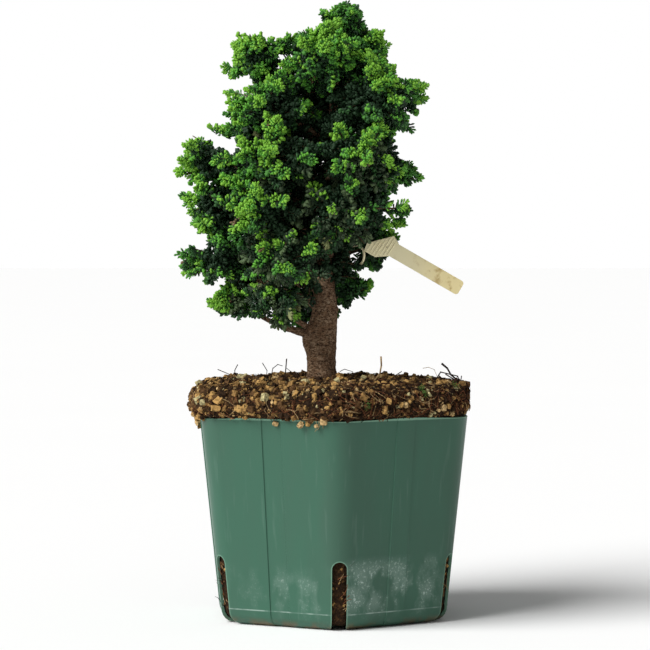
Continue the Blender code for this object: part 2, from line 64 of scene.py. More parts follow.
# The view: a camera at the photograph's place and angle, a sky that looks white, one soft key light from
# the front left and a weak soft light from the front. None of it belongs to the plant.
EYE = Vector((-0.0025, -1.084, 0.1473))
LOOKS_AT = Vector((-0.0025, 0.0, 0.1210))
LENS = 144.0  # mm, like the sensor's width
SENSOR_WIDTH = 36.0
NEAREST_SEEN = 0.01
SKY_SEEN = 1.0  # how bright the sky looks, and how brightly it lights
SKY_LIGHT = 0.23
SUNS = (
    ("key light", -148, 41, 4.0, 42),  # direction, height, strength and softness
    ("front light", -95, 35, 0.10, 60),
)

camera_data = bpy.data.cameras.new("camera")
camera_data.lens = LENS
camera_data.sensor_width = SENSOR_WIDTH
camera_data.clip_start = NEAREST_SEEN
camera = bpy.data.objects.new("camera", camera_data)
camera.location = EYE
camera.rotation_euler = (LOOKS_AT - EYE).to_track_quat("-Z", "Y").to_euler()
bpy.context.scene.collection.objects.link(camera)
bpy.context.scene.camera = camera
bpy.context.scene.view_settings.view_transform = "Standard"


def add_sun(name, direction, height, strength, softness):
    """A soft sun. It shines from a direction round the object and a height above the floor, in degrees."""
    lamp = bpy.data.lights.new(name, "SUN")
    lamp.energy = strength
    lamp.angle = math.radians(softness)
    turn = math.radians(direction)
    lift = math.radians(height)
    towards = Vector((math.cos(turn) * math.cos(lift), math.sin(turn) * math.cos(lift), math.sin(lift)))
    sun = bpy.data.objects.new(name, lamp)
    sun.rotation_euler = towards.to_track_quat("Z", "Y").to_euler()
    bpy.context.scene.collection.objects.link(sun)


def light_the_sky():
    """An even sky that looks white and lights the object more gently than it looks."""
    world = bpy.data.worlds.new("sky")
    bpy.context.scene.world = world
    world.use_nodes = True
    nodes = world.node_tree.nodes
    path = nodes.new("ShaderNodeLightPath")
    strength = nodes.new("ShaderNodeMapRange")
    strength.inputs["To Min"].default_value = SKY_LIGHT
    strength.inputs["To Max"].default_value = SKY_SEEN
    background = nodes["Background"]
    background.inputs["Color"].default_value = (1, 1, 1, 1)
    world.node_tree.links.new(path.outputs["Is Camera Ray"], strength.inputs["Value"])
    world.node_tree.links.new(strength.outputs["Result"], background.inputs["Strength"])


for sun_values in SUNS:
    add_sun(*sun_values)
light_the_sky()

# The floor: one flat square of pale board that lies level under the pot's flat underside. It is the stage
# for the picture, and no part of the object.
FLOOR_SIZE = 120.0
FLOOR_COLOUR = (0.97, 0.97, 0.965, 1)
FLOOR_ROUGHNESS = (0.75, 0.10)  # the least, and how much its pattern adds


class Wire:
    """An output of a shader node. Sums on wires add Math nodes, and node() adds any other node."""

    def __init__(self, tree, socket=None):
        self.tree = tree
        self.socket = socket

    def node(self, kind, settings=None, sockets=None, output=0):
        made = self.tree.nodes.new("ShaderNode" + kind)
        for name, value in (settings or {}).items():
            if name == "stops":
                self.set_stops(made.color_ramp.elements, value)
            else:
                setattr(made, name, value)
        for name, value in (sockets or {}).items():
            if isinstance(value, Wire):
                self.tree.links.new(value.socket, made.inputs[name])
            else:
                made.inputs[name].default_value = value
        return Wire(self.tree, made.outputs[output])

    def set_stops(self, elements, stops):
        while len(elements) < len(stops):
            elements.new(1.0)
        for element, (place, colour) in zip(elements, stops):
            element.position = place
            element.color = colour

    def maths(self, operation, *values):
        return self.node("Math", {"operation": operation}, dict(enumerate(values)))

    def __add__(self, other):
        return self.maths("ADD", self, other)

    def __sub__(self, other):
        return self.maths("SUBTRACT", self, other)

    def __rsub__(self, other):
        return self.maths("SUBTRACT", other, self)

    def __mul__(self, other):
        return self.maths("MULTIPLY", self, other)

    __radd__ = __add__
    __rmul__ = __mul__

    def rises(self, low, high):
        """Nought up to low, one from high on, with a smooth slope between them."""
        ends = {"Value": self, "From Min": low, "From Max": high}
        return self.node("MapRange", {"interpolation_type": "SMOOTHSTEP"}, ends)

    def between(self, low, high, edge):
        """One from low to high, with soft ends."""
        return self.rises(low - edge, low) * (1 - self.rises(high, high + edge))

    def blend(self, first, second):
        """From the first colour to the second as this wire goes from nought to one."""
        return self.node("Mix", {"data_type": "RGBA"}, {0: self, 6: first, 7: second}, 2)

    def noise(self, scale, detail=2.0, roughness=0.5):
        """A noise pattern at the place that this wire gives."""
        sizes = {"Vector": self, "Scale": scale, "Detail": detail, "Roughness": roughness}
        return self.node("TexNoise", None, sizes)

    def stretched(self, *factors):
        """A place with its axes scaled, so that a pattern comes out drawn along one of them."""
        return self.node("VectorMath", {"operation": "MULTIPLY"}, {0: self, 1: factors})

    def axis(self, name):
        """One axis of a place."""
        return self.node("SeparateXYZ", None, {0: self}, name)

    def bump(self, strength, distance):
        """The normal of a surface that stands out by the height that this wire gives."""
        return self.node("Bump", None, {"Height": self, "Strength": strength, "Distance": distance})


def plain_material(name, roughness, colour, shine=0.5):
    """One even colour that shines like plastic, or less."""
    material = bpy.data.materials.new(name)
    material.use_nodes = True
    shader = material.node_tree.nodes["Principled BSDF"]
    shader.inputs["Base Color"].default_value = colour
    shader.inputs["Roughness"].default_value = roughness
    shader.inputs["Specular IOR Level"].default_value = shine
    material.diffuse_color = colour
    return material


def new_material(name, roughness, colour, shine=0.5):
    """A material, its shader, and the place on the piece as a wire to grow patterns from."""
    material = plain_material(name, roughness, colour, shine)
    place = Wire(material.node_tree).node("TexCoord", output="Object")
    return material, material.node_tree.nodes["Principled BSDF"], place


def feed(shader, socket, wire):
    wire.tree.links.new(wire.socket, shader.inputs[socket])


def new_piece(name, mesh, materials):
    piece = bpy.data.objects.new(name, mesh)
    bpy.context.scene.collection.objects.link(piece)
    for material in materials:
        mesh.materials.append(material)
    return piece


def mesh_of(name, bm):
    mesh = bpy.data.meshes.new(name)
    bm.to_mesh(mesh)
    bm.free()
    return mesh


def board_material():
    least, more = FLOOR_ROUGHNESS
    material, shader, place = new_material("pale board", least, FLOOR_COLOUR)
    feed(shader, "Roughness", place.noise(3.0) * more + least)
    return material


floor_shape = bmesh.new()
bmesh.ops.create_grid(floor_shape, x_segments=1, y_segments=1, size=FLOOR_SIZE / 2)
floor = new_piece("floor", mesh_of("floor", floor_shape), [board_material()])

# The pot: one thin moulded shell of green plastic, a tapered hexagon with round corners. Down each side
# runs a strip that stands a step out or in, and a slot is cut through each corner from under the foot.
POT_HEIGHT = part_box("pot")[1].z
POT_RIM = 0.0629  # from the middle to a sharp corner
POT_FOOT = 0.0528
POT_WALL = 0.0012
POT_TURN = -86.5  # direction of the near corner, in degrees
RIM_CORNER_ROUND = 0.0140
FOOT_CORNER_ROUND = 0.0085
FOOT_EDGE_ROUND = 0.0060
CORNER_STEPS = 12
SIDE_STEPS = (0.30, 0.62)  # more points along a side, as shares from the strip to the corner
STRIP_WIDTH = 0.0083
STRIP_STEP = 0.00040
STEP_WIDTH = 0.00025
WALL_LEVELS = 16
FOOT_TURNS = (90, 75, 60, 45, 30, 15)  # degrees round the edge under the wall, from the underside
RIM_BAND = 0.001  # between the last even ring and the rim
CREASE_HEIGHT = 0.0066
CREASE_RIDGE = 0.00012
RIM_WAVE = 0.0006  # how much higher the rim is over a side than at a corner
RIM_WAVE_SINK = 0.8  # the share of that wave by which the rim is set lower
RIM_RIPPLE = 0.0005
RIM_RIPPLE_SCALE = 3.0
SLOT_WIDTH = 0.0060
SLOT_HEIGHT = 0.0280
SLOT_INNER_END = 0.0380
CUTTER_SPARE = (0.005, 0.002)  # how far a slot's cutter goes past the corner, and below the foot
SLANT = (POT_RIM - POT_FOOT) / POT_HEIGHT
ROUND_GROWTH = (RIM_CORNER_ROUND - FOOT_CORNER_ROUND) / POT_HEIGHT
ACROSS = 1 / math.cos(math.radians(30))
POT_GREEN = (0.040, 0.116, 0.076, 1)
POT_DULL_GREEN = (0.046, 0.104, 0.072, 1)
# The pale green of the cut edges is a painted highlight, where a rounded edge would catch the light.
POT_EDGE_HIGHLIGHT = (0.230, 0.420, 0.300, 1)
CHALK = (0.370, 0.470, 0.420, 1)
DIRT = (0.130, 0.090, 0.045, 1)
SLOT_HIGHLIGHT = 0.0006  # width of the painted highlight round a slot
RIM_HIGHLIGHT = (0.0009, 0.0004)  # how far below the rim its painted highlight starts, and where it is full
SCUFFS = (
    ((0.008, 0.040, 0.006), (0.0115, 0.0235, 0.007)),  # from, to and softness of a scuff in x, and in z
    ((-0.024, -0.006, 0.004), (0.010, 0.019, 0.004)),
)
SCUFF_BAND = (0.007, 0.022, 0.006)  # the same in z, for a faint band round the pot
SCUFF_DEPTH = (-0.02, 0.0)  # the y over which the scuffs of the front end
CREASE_CHALK = (CREASE_HEIGHT - 0.0001, CREASE_HEIGHT + 0.0001, 0.00025)
GRIME_HEIGHTS = (0.0005, 0.0042)  # where the dirt at the foot is full, and where it ends


def side_spots(half_flat, side):
    """Points along a side of the pot, each with how far it stands out, from one corner to the next."""
    half = STRIP_WIDTH / 2
    out = STRIP_STEP if side % 2 == 0 else -STRIP_STEP
    outer = [half + STEP_WIDTH + (half_flat - half) * share for share in SIDE_STEPS]
    right = [(half * 0.5, out), (half, out), (half + STEP_WIDTH, 0.0)] + [(spot, 0.0) for spot in outer]
    return [(-spot, step) for spot, step in reversed(right)] + right


def level_way(turn):
    """A level unit vector in the direction of a turn."""
    return Vector((math.cos(turn), math.sin(turn), 0))


def left_of(way):
    return Vector((-way.y, way.x, 0))


def hexagon(corner, corner_round, height, corner_steps, spots=None):
    """A ring of points: a hexagon with round corners, and points along its sides if spots are given."""
    arc_middle = corner - corner_round * ACROSS
    ring = []
    for side in range(6):
        aim = math.radians(POT_TURN + 60 * side)
        for step in range(corner_steps + 1):
            swing = aim + math.radians(60 * step / corner_steps - 30)
            x = arc_middle * math.cos(aim) + corner_round * math.cos(swing)
            y = arc_middle * math.sin(aim) + corner_round * math.sin(swing)
            ring.append(Vector((x, y, height)))
        outwards = level_way(aim + math.radians(30))
        along = left_of(outwards)
        flat = outwards * (arc_middle / ACROSS + corner_round) + Vector((0, 0, height))
        for spot, out in spots(arc_middle / 2, side) if spots else ():
            ring.append(flat + along * spot + outwards * out)
    return ring


def wall_ring(height, inset=0.0, steps=CORNER_STEPS, spots=side_spots):
    """The outline of the pot's wall at a height, moved inwards by inset."""
    corner = POT_FOOT + SLANT * height - inset * ACROSS
    return hexagon(corner, FOOT_CORNER_ROUND + ROUND_GROWTH * height - inset, height, steps, spots)


def foot_ring(turn, inset=0.0, steps=CORNER_STEPS, spots=side_spots):
    """The outline of the round edge under the wall: at turn 0 it is the wall, at 90 the flat underside."""
    bend = FOOT_EDGE_ROUND - inset
    inwards = inset + bend * (1 - math.cos(math.radians(turn)))
    height = FOOT_EDGE_ROUND - bend * math.sin(math.radians(turn))
    corner = POT_FOOT + SLANT * FOOT_EDGE_ROUND - inwards * ACROSS
    corner_round = FOOT_CORNER_ROUND + ROUND_GROWTH * FOOT_EDGE_ROUND - inwards
    return hexagon(corner, corner_round, height, steps, spots)


def grow_wall(bm, rings, close_start=True, close_end=False):
    """A grid is bent round through the rings and its seam is welded. Its order is the same in each run."""
    turns = len(rings[0])
    made = bmesh.ops.create_grid(bm, x_segments=turns, y_segments=len(rings) - 1, size=1.0)["verts"]
    for k, vertex in enumerate(made):
        row, column = divmod(k, turns + 1)
        vertex.co = rings[row][column % turns]
    bmesh.ops.weld_verts(bm, targetmap=dict(zip(made[turns::turns + 1], made[::turns + 1])))
    for row, closed in ((made[:turns], close_start), (made[-turns - 1:-1], close_end)):
        if closed:
            rim = (edge for vertex in row for edge in vertex.link_edges if edge.other_vert(vertex) in row)
            bmesh.ops.contextual_create(bm, geom=list(dict.fromkeys(rim)))


def rim_ring():
    """The top of the wall: a little higher over the sides than at the corners, with a slight ripple."""
    ring = wall_ring(POT_HEIGHT)
    for point in ring:
        turn = math.atan2(point.y, point.x)
        over_side = 0.5 - 0.5 * math.cos(6 * (turn - math.radians(POT_TURN)))
        ripple = noise.noise(level_way(turn) * RIM_RIPPLE_SCALE)
        point.z += RIM_WAVE * (over_side - RIM_WAVE_SINK) + RIM_RIPPLE * ripple
    return ring


def pot_rings():
    """Rings round the foot's edge, over the crease, up the wall and to the rim."""
    low = 2 * CREASE_HEIGHT - FOOT_EDGE_ROUND
    high = POT_HEIGHT - RIM_BAND
    rings = [foot_ring(turn) for turn in FOOT_TURNS]
    rings += [wall_ring(FOOT_EDGE_ROUND), wall_ring(CREASE_HEIGHT, -CREASE_RIDGE), wall_ring(low)]
    for level in range(1, WALL_LEVELS):
        rings.append(wall_ring(low + (high - low) * level / (WALL_LEVELS - 1)))
    return rings + [rim_ring()]


def slot_cutter(number):
    """A bar with a round top that reaches from under the foot out through one corner."""
    bm = bmesh.new()
    bmesh.ops.create_cube(bm, size=1.0)
    length = POT_RIM + CUTTER_SPARE[0] - SLOT_INNER_END
    tall = SLOT_HEIGHT + CUTTER_SPARE[1]
    bmesh.ops.scale(bm, vec=(length, SLOT_WIDTH, tall), verts=bm.verts)
    bmesh.ops.translate(bm, vec=(SLOT_INNER_END + length / 2, 0, SLOT_HEIGHT - tall / 2), verts=bm.verts)
    top = [edge for edge in bm.edges if all(v.co.z > 0 for v in edge.verts)]
    top = [edge for edge in top if abs(edge.verts[0].co.y - edge.verts[1].co.y) < 1e-6]
    almost_half = SLOT_WIDTH / 2 * 0.999
    bmesh.ops.bevel(bm, geom=top, offset=almost_half, affect="EDGES", segments=8, profile=0.5, material=-1)
    turn = Matrix.Rotation(math.radians(POT_TURN + 60 * number), 4, "Z")
    bmesh.ops.transform(bm, matrix=turn, verts=bm.verts)
    return mesh_of("slot_cutter", bm)


def finished_mesh(piece):
    """The piece's mesh with its modifiers applied."""
    bpy.context.view_layer.update()
    graph = bpy.context.evaluated_depsgraph_get()
    return bpy.data.meshes.new_from_object(piece.evaluated_get(graph))


def shaded(mesh, sharp_angle):
    """The mesh with smooth shading, but for its edges over an angle in degrees."""
    mesh.shade_smooth()
    mesh.set_sharp_from_angle(angle=math.radians(sharp_angle))
    return mesh


def pot_mesh():
    bm = bmesh.new()
    grow_wall(bm, pot_rings())
    bmesh.ops.recalc_face_normals(bm, faces=bm.faces)
    shell = new_piece("pot_shell", mesh_of("pot_shell", bm), [])
    wall = shell.modifiers.new("wall", "SOLIDIFY")
    wall.thickness = POT_WALL
    wall.offset = -1
    wall.use_even_offset = True
    cutters = [new_piece("slot_cutter", slot_cutter(k), []) for k in range(6)]
    for cutter in cutters:
        slot = shell.modifiers.new("slot", "BOOLEAN")
        slot.operation = "DIFFERENCE"
        slot.object = cutter
    mesh = finished_mesh(shell)
    for helper in cutters + [shell]:
        bpy.data.objects.remove(helper)
    return shaded(mesh, 32)


def from_nearest_slot(x, y, z):
    """How far a place on the wall is from the sides or the round top of the nearest slot."""
    turn = x.maths("ARCTAN2", y, x)
    turn = x.maths("WRAP", turn - math.radians(POT_TURN), math.radians(30), math.radians(-30))
    away = x.maths("SQRT", x * x + y * y)
    across = x.maths("ABSOLUTE", away * x.maths("SINE", turn))
    above = x.maths("MAXIMUM", z - (SLOT_HEIGHT - SLOT_WIDTH / 2), 0.0)
    return x.maths("SQRT", above * above + across * across) - SLOT_WIDTH / 2


def pot_material():
    """Green plastic, a little dusty, with painted highlights along its cut edges, lime scuffs and dirt near
    the foot.
    """
    material, shader, place = new_material("pot green", 0.45, POT_GREEN, 0.22)
    x, y, z = (place.axis(name) for name in "XYZ")
    dust = place.stretched(1, 1, 0.25).noise(60.0, 4.0).rises(0.35, 0.75)
    colour = (dust * 0.8).blend(POT_GREEN, POT_DULL_GREEN)
    streak = place.stretched(1, 1, 0.04).noise(420.0, 2.0).rises(0.60, 0.75)
    colour = (streak * 0.05).blend(colour, CHALK)

    # Painted highlights along the cut edges of the slots and of the rim.
    slot_highlight = 1 - from_nearest_slot(x, y, z).rises(0.0, SLOT_HIGHLIGHT)
    rim_highlight = z.rises(POT_HEIGHT - RIM_HIGHLIGHT[0], POT_HEIGHT - RIM_HIGHLIGHT[1])
    colour = (slot_highlight * 0.55).blend(colour, POT_EDGE_HIGHLIGHT)
    colour = (rim_highlight * 0.75).blend(colour, POT_EDGE_HIGHLIGHT)

    specks = place.noise(900.0, 3.0, 0.7).rises(0.52, 0.70)
    cloud = place.stretched(1, 1, 0.6).noise(110.0, 3.0).rises(0.42, 0.62)
    front = 1 - y.rises(*SCUFF_DEPTH)
    right, left = (x.between(*across) * z.between(*up) * front for across, up in SCUFFS)
    scuffs = right * 0.95 + left * 0.30 + z.between(*SCUFF_BAND) * 0.15
    colour = (scuffs * cloud * (specks * 0.7 + 0.25)).blend(colour, CHALK)
    broken = place.noise(160.0, 3.0).rises(0.40, 0.62)
    colour = (z.between(*CREASE_CHALK) * (broken * 0.5 + 0.12)).blend(colour, CHALK)
    grime = (1 - z.rises(*GRIME_HEIGHTS)) * place.noise(190.0, 4.0).rises(0.40, 0.60)
    colour = (grime * 0.8).blend(colour, DIRT)
    feed(shader, "Base Color", colour)
    feed(shader, "Roughness", dust * 0.12 + scuffs * cloud * 0.3 + 0.38)
    ripple = place.stretched(1, 1, 0.3).noise(90.0, 2.0) + specks * 0.06
    feed(shader, "Normal", ripple.bump(0.25, 0.0006))
    return material


pot = new_piece("pot_shell", pot_mesh(), [pot_material()])
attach(pot, "root")
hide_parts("pot")

# The root ball: coarse gritty soil that fills the pot, shows in the slots, and stands proud of the rim
# with a lumpy wall. Ochre grains lie thickest on the left, and fine roots mat the top and the right.
SOIL_EDGE = (
    (0.0850, 0.0632, 0.0),  # height, distance to a sharp corner, how much further out the right side goes
    (0.0880, 0.0655, -0.0010),
    (0.0915, 0.0650, -0.0006),
    (0.0945, 0.0620, 0.0014),
    (0.0965, 0.0570, 0.0055),
)
SOIL_EDGE_ROUND = 0.0190
SOIL_SHIFT = Vector((-0.0012, 0.0, 0.0))
SOIL_GAP = 0.0004  # off the inside of the pot
SOIL_WALL_RINGS = 4
SOIL_CORNER_STEPS = 4
SOIL_SIDE_SPOTS = (-0.5, 0.0, 0.5)
SOIL_CUTS = 3
SOIL_BUMPS = 0.0004
SOIL_BUMP_SCALE = 420
MOUND_MIDDLE = Vector((-0.0040, 0.0, 0.0982))
MOUND_SEAT = 0.0095  # radius of the flat that the trunk stands on
MOUND_RINGS = 6
MOUND_CALM_RINGS = 2  # rings round the trunk over which the lumps begin
MOUND_FALL = 3
LUMP_HEIGHT = 0.0024
LUMP_SIZE = 0.0072
LUMP_LIFT = Vector((0, 0, 0.5))  # a lump of the edge stands outwards, and this much up
GRIT_COLOURS = (
    ("ochre grit", (0.470, 0.280, 0.096, 1)),
    ("golden grit", (0.300, 0.172, 0.060, 1)),
    ("tan grit", (0.600, 0.410, 0.190, 1)),
    ("pale grit", (0.520, 0.450, 0.230, 1)),
    ("brown crumb", (0.115, 0.060, 0.024, 1)),
    ("dark crumb", (0.034, 0.018, 0.009, 1)),
)
LEFT_GRIT = (0.25, 0.22, 0.06, 0.03, 0.26, 0.18)  # shares of those colours, at the left and at the right
RIGHT_GRIT = (0.12, 0.12, 0.05, 0.03, 0.29, 0.39)
RIGHT_SPREAD = 0.075  # the width over which the left soil turns into the right one
TOP_RIGHTNESS = 0.5
GRAIN_SHAPES = range(6)
CRUMB_SHAPES = range(6, 10)
SCATTER = (
    (2500, (0.0006, 0.0024, 0.0011), GRAIN_SHAPES),  # count, least, most and commonest half width, shapes
    (5200, (0.0003, 0.0010, 0.0005), CRUMB_SHAPES),
)
GRAIN_BLUNTNESS = 0.42
GRAIN_PUSH = (0.74, 1.12)  # how far a point of a grain is pushed in or out
GRAIN_STRETCH = (0.70, 1.25)  # how uneven the three sizes of a grain are
GRAIN_SINK = (-0.45, 0.42)  # how far a grain's middle stands off the soil, as shares of its size
RIGHT_SHRINK = 0.30  # how much smaller the grains are at the right
SLOT_HEIGHTS = (0.003, SLOT_HEIGHT - 0.002)
SLOT_ASIDE = 0.0026
SLOT_FOOT_DEPTH = 0.0025  # how much deeper things lie in a slot where the foot's edge is round
SLOT_GRIT_DEPTH = 0.0022
CRUMBS_PER_SLOT = 40
SLOT_CRUMBS = (0.0004, 0.0010)
SLOT_CRUMB_COLOURS = (0, 1, 4, 4, 5, 5, 5)
RIM_GRAINS = (
    (-0.0222, 0.0828, 0.00150),  # x, z and half across, of the grains that have rolled onto the rim
    (-0.0121, 0.0828, 0.00155),
    (-0.0090, 0.0834, 0.00130),
    (-0.0074, 0.0846, 0.00140),
    (-0.0031, 0.0843, 0.00150),
    (-0.0098, 0.0856, 0.00120),
    (-0.0060, 0.0826, 0.00095),
    (-0.0580, 0.0866, 0.00170),
    (-0.0568, 0.0844, 0.00170),
    (-0.0560, 0.0822, 0.00160),
    (-0.0552, 0.0802, 0.00140),
    (-0.0548, 0.0788, 0.00100),
    (-0.0556, 0.0852, 0.00150),
    (-0.0515, 0.0838, 0.00100),
)
ROOTS_ON_WALL = 1100
ROOTS_ON_TOP = 1150
ROOT_CHANCE = 0.35  # of a root at the left, and what the right side and the top add to it
RIGHT_ROOT_CHANCE = 0.65
TOP_ROOT_CHANCE = 0.3
WALL_LEAN = 0.75  # the wall is where the way out of the soil rises by less than this
ROOT_LENGTHS = (0.004, 0.011)
ROOT_THICKNESS = (0.00006, 0.00024)
ROOT_LIFTS = (0.0002, 0.0012)
ROOT_STEPS = 5
ROOT_WANDER = 0.5
ROOT_OVERLAP = 1.08
ROOT_THINNING = 0.1
ROOTS_PER_SLOT = 12
SLOT_ROOT_DEPTH = 0.0014
SLOT_ROOT_LENGTHS = (0.003, 0.006)
SLOT_ROOTS = (0.3, 0.3, 0.4)
HANGING_WANDER = 0.4
HANGING_THICKNESS = 0.00014
HANGING_GAP = 0.0009  # off the pot's wall
HANGING_WAY = Vector((0, -0.1, -1.5))
HANGING_ROOTS = ((-0.0050, 0.0068), (-0.0042, 0.0052), (-0.0061, 0.0045), (-0.0034, 0.0060))  # x and length
ROOT_COLOURS = (
    ("red root", (0.170, 0.064, 0.028, 1)),
    ("dark root", (0.026, 0.014, 0.009, 1)),
    ("pale root", (0.400, 0.270, 0.130, 1)),
    ("moss", (0.080, 0.150, 0.035, 1)),
)
RED, BLACK, PALE, MOSS = range(4)
WALL_ROOTS = (0.42, 0.44, 0.14)  # shares of the first three of those colours
MAT_ROOTS = (0.12, 0.82, 0.06)
STRAY_TWIGS = (
    (PALE, 0.00052, -0.020, ((0.0204, 0.1086), (0.0206, 0.1051), (0.0200, 0.1016), (0.0165, 0.0972))),
    (BLACK, 0.00055, -0.014, ((0.0455, 0.1055), (0.0478, 0.1036), (0.0494, 0.1008), (0.0538, 0.0972))),
    (BLACK, 0.00036, -0.015, ((0.0428, 0.0985), (0.0451, 0.1020), (0.0518, 0.1004), (0.0541, 0.0972))),
    (BLACK, 0.00028, -0.013, ((0.0538, 0.1004), (0.0533, 0.0972))),
    (BLACK, 0.00034, -0.016, ((0.0470, 0.1012), (0.0510, 0.0988), (0.0546, 0.0958))),
    (BLACK, 0.00026, -0.018, ((0.0436, 0.0998), (0.0500, 0.0992), (0.0550, 0.0966))),
    (BLACK, 0.00020, -0.020, ((0.0035, 0.1024), (0.0055, 0.1034), (0.0087, 0.1024), (0.0110, 0.0980))),
    (BLACK, 0.00024, -0.018, ((0.0290, 0.1024), (0.0259, 0.1004), (0.0235, 0.0975))),
    (BLACK, 0.00026, -0.015, ((-0.0384, 0.1051), (-0.0396, 0.1028), (-0.0396, 0.0980))),
    (BLACK, 0.00022, -0.015, ((-0.0467, 0.1031), (-0.0431, 0.1016), (-0.0404, 0.1005), (-0.0390, 0.0980))),
    (BLACK, 0.00034, -0.020, ((-0.0182, 0.1077), (-0.0187, 0.1020), (-0.0187, 0.0980))),
    (BLACK, 0.00015, -0.020, ((-0.0187, 0.1042), (-0.0160, 0.1020))),
    (BLACK, 0.00022, -0.018, ((-0.0282, 0.1059), (-0.0263, 0.1028), (-0.0267, 0.0980))),
    (BLACK, 0.00024, -0.019, ((-0.0250, 0.0985), (-0.0239, 0.1036), (-0.0219, 0.1053), (-0.0200, 0.1047))),
    (PALE, 0.00015, -0.016, ((0.0377, 0.1036), (0.0400, 0.1040), (0.0424, 0.1031), (0.0445, 0.0980))),
)  # colour, half thickness, y, and the x and z of the corners of each loose twig
LOOSE_GRAINS = (
    (0.0134, -0.016, 0.00190, 3),  # x, y, half across and colour of the grains that stand out on top
    (0.0170, -0.012, 0.00140, 2),
    (0.0235, -0.016, 0.00150, 0),
    (0.0290, 0.004, 0.00140, 4),
    (0.0345, -0.010, 0.00160, 1),
    (0.0408, -0.014, 0.00180, 3),
    (0.0455, -0.012, 0.00170, 1),
    (0.0490, -0.008, 0.00190, 4),
    (0.0520, -0.010, 0.00160, 5),
    (-0.0145, 0.004, 0.00170, 5),
    (-0.0215, 0.006, 0.00150, 4),
    (-0.0300, 0.004, 0.00160, 5),
)
MOSS_SPOTS = ((0.0135, 0.0903), (0.0370, 0.0938), (0.0500, 0.0965), (0.0360, 0.0955))  # x and z
MOSS_BLADES = 24
MOSS_WIDTH = 0.0016
MOSS_CROWDING = 0.8
MOSS_RISE = 0.0008
MOSS_BLADE = (0.0006, 0.0012)
MOSS_WANDER = 0.9
MOSS_THICKNESS = 0.00013
SOIL_DARK = (0.024, 0.013, 0.007, 1)
SOIL_WARM = (0.110, 0.056, 0.022, 1)


def plain_spots(half_flat, side):
    return [(half_flat * share, 0.0) for share in SOIL_SIDE_SPOTS]


def soil_edge_ring(height, corner, further):
    """The outline of the soil above the rim at a height."""
    ring = hexagon(corner, SOIL_EDGE_ROUND, height, SOIL_CORNER_STEPS, plain_spots)
    for point in ring:
        point += SOIL_SHIFT
        point.x += further * max(point.x / corner, 0.0)
    return ring


def lump(point):
    """How far the soil stands off its even shape at a place."""
    return LUMP_HEIGHT * noise.noise(point / LUMP_SIZE)


def part_way(ends, share):
    """The value at a share of the way from one end to the other."""
    return ends[0] + (ends[1] - ends[0]) * share


def mound_ring(edge, number):
    """A ring of the soil's top, on the way from the trunk's seat to the edge."""
    share = number / (MOUND_RINGS + 1)
    ring = []
    for far in edge:
        outwards = Vector((far.x - MOUND_MIDDLE.x, far.y - MOUND_MIDDLE.y, 0)).normalized()
        point = (MOUND_MIDDLE + outwards * MOUND_SEAT).lerp(far, share)
        point.z = part_way((MOUND_MIDDLE.z, SOIL_EDGE[-1][0]), share**MOUND_FALL)
        point.z += lump(point) * min(number / MOUND_CALM_RINGS, 1)
        ring.append(point)
    return ring


def soil_rings():
    """Rings up the inside of the pot, over the lumpy edge, and in to the trunk's seat."""
    inset = POT_WALL + SOIL_GAP
    rings = [foot_ring(turn, inset, SOIL_CORNER_STEPS, plain_spots) for turn in FOOT_TURNS[::2]]
    for level in range(SOIL_WALL_RINGS):
        height = FOOT_EDGE_ROUND + (POT_HEIGHT - FOOT_EDGE_ROUND) * level / (SOIL_WALL_RINGS - 1)
        rings.append(wall_ring(height, inset, SOIL_CORNER_STEPS, plain_spots))
    edge = [soil_edge_ring(*level) for level in SOIL_EDGE]
    mound = [mound_ring(edge[-1], number) for number in range(MOUND_RINGS, -1, -1)]
    for ring in edge[1:]:
        for point in ring:
            point += (Vector((point.x, point.y, 0)).normalized() + LUMP_LIFT) * lump(point)
    return rings + edge + mound


def soil_core_shape():
    bm = bmesh.new()
    grow_wall(bm, soil_rings(), close_end=True)
    bmesh.ops.recalc_face_normals(bm, faces=bm.faces)
    bmesh.ops.subdivide_edges(bm, edges=bm.edges, cuts=SOIL_CUTS, use_grid_fill=True)
    bmesh.ops.triangulate(bm, faces=bm.faces)
    bm.normal_update()
    for vertex in bm.verts:
        if vertex.co.z > SOIL_EDGE[1][0]:
            vertex.co += vertex.normal * SOIL_BUMPS * noise.noise(vertex.co * SOIL_BUMP_SCALE)
    return bm


def arrays_of(bm):
    """A shape as an array of points, an array of triangles and each triangle's finish number."""
    bmesh.ops.triangulate(bm, faces=bm.faces)
    bm.verts.index_update()
    points = np.array([vertex.co[:] for vertex in bm.verts])
    faces = np.array([[vertex.index for vertex in face.verts] for face in bm.faces])
    finishes = np.array([face.material_index for face in bm.faces])
    bm.free()
    return points, faces, finishes


class Heap:
    """Copies of shapes that are put down one by one and joined into one mesh."""

    def __init__(self):
        self.points = []
        self.faces = []
        self.finishes = []
        self.count = 0

    def put(self, shape, frames, spots, finishes):
        """Adds copies of a shape. Each has a 3 by 3 frame, a spot, and a finish or one for each face."""
        points, faces, _ = shape
        frames = np.asarray(frames)
        copies = len(frames)
        placed = np.einsum("nij,pj->npi", frames, points) + np.asarray(spots)[:, None, :]
        starts = self.count + np.arange(copies) * len(points)
        self.points.append(placed.reshape(-1, 3))
        self.faces.append((faces[None] + starts[:, None, None]).reshape(-1, 3))
        finishes = np.broadcast_to(np.asarray(finishes).reshape(copies, -1), (copies, len(faces)))
        self.finishes.append(finishes.reshape(-1))
        self.count += copies * len(points)

    def mesh(self, name):
        points = np.concatenate(self.points)
        faces = np.concatenate(self.faces)
        mesh = bpy.data.meshes.new(name)
        mesh.vertices.add(len(points))
        mesh.vertices.foreach_set("co", points.ravel())
        mesh.loops.add(faces.size)
        mesh.loops.foreach_set("vertex_index", faces.ravel().astype(np.int32))
        mesh.polygons.add(len(faces))
        mesh.polygons.foreach_set("loop_start", np.arange(0, faces.size, 3, dtype=np.int32))
        mesh.polygons.foreach_set("material_index", np.concatenate(self.finishes).astype(np.int32))
        mesh.update(calc_edges=True)
        mesh.shade_smooth()
        return mesh


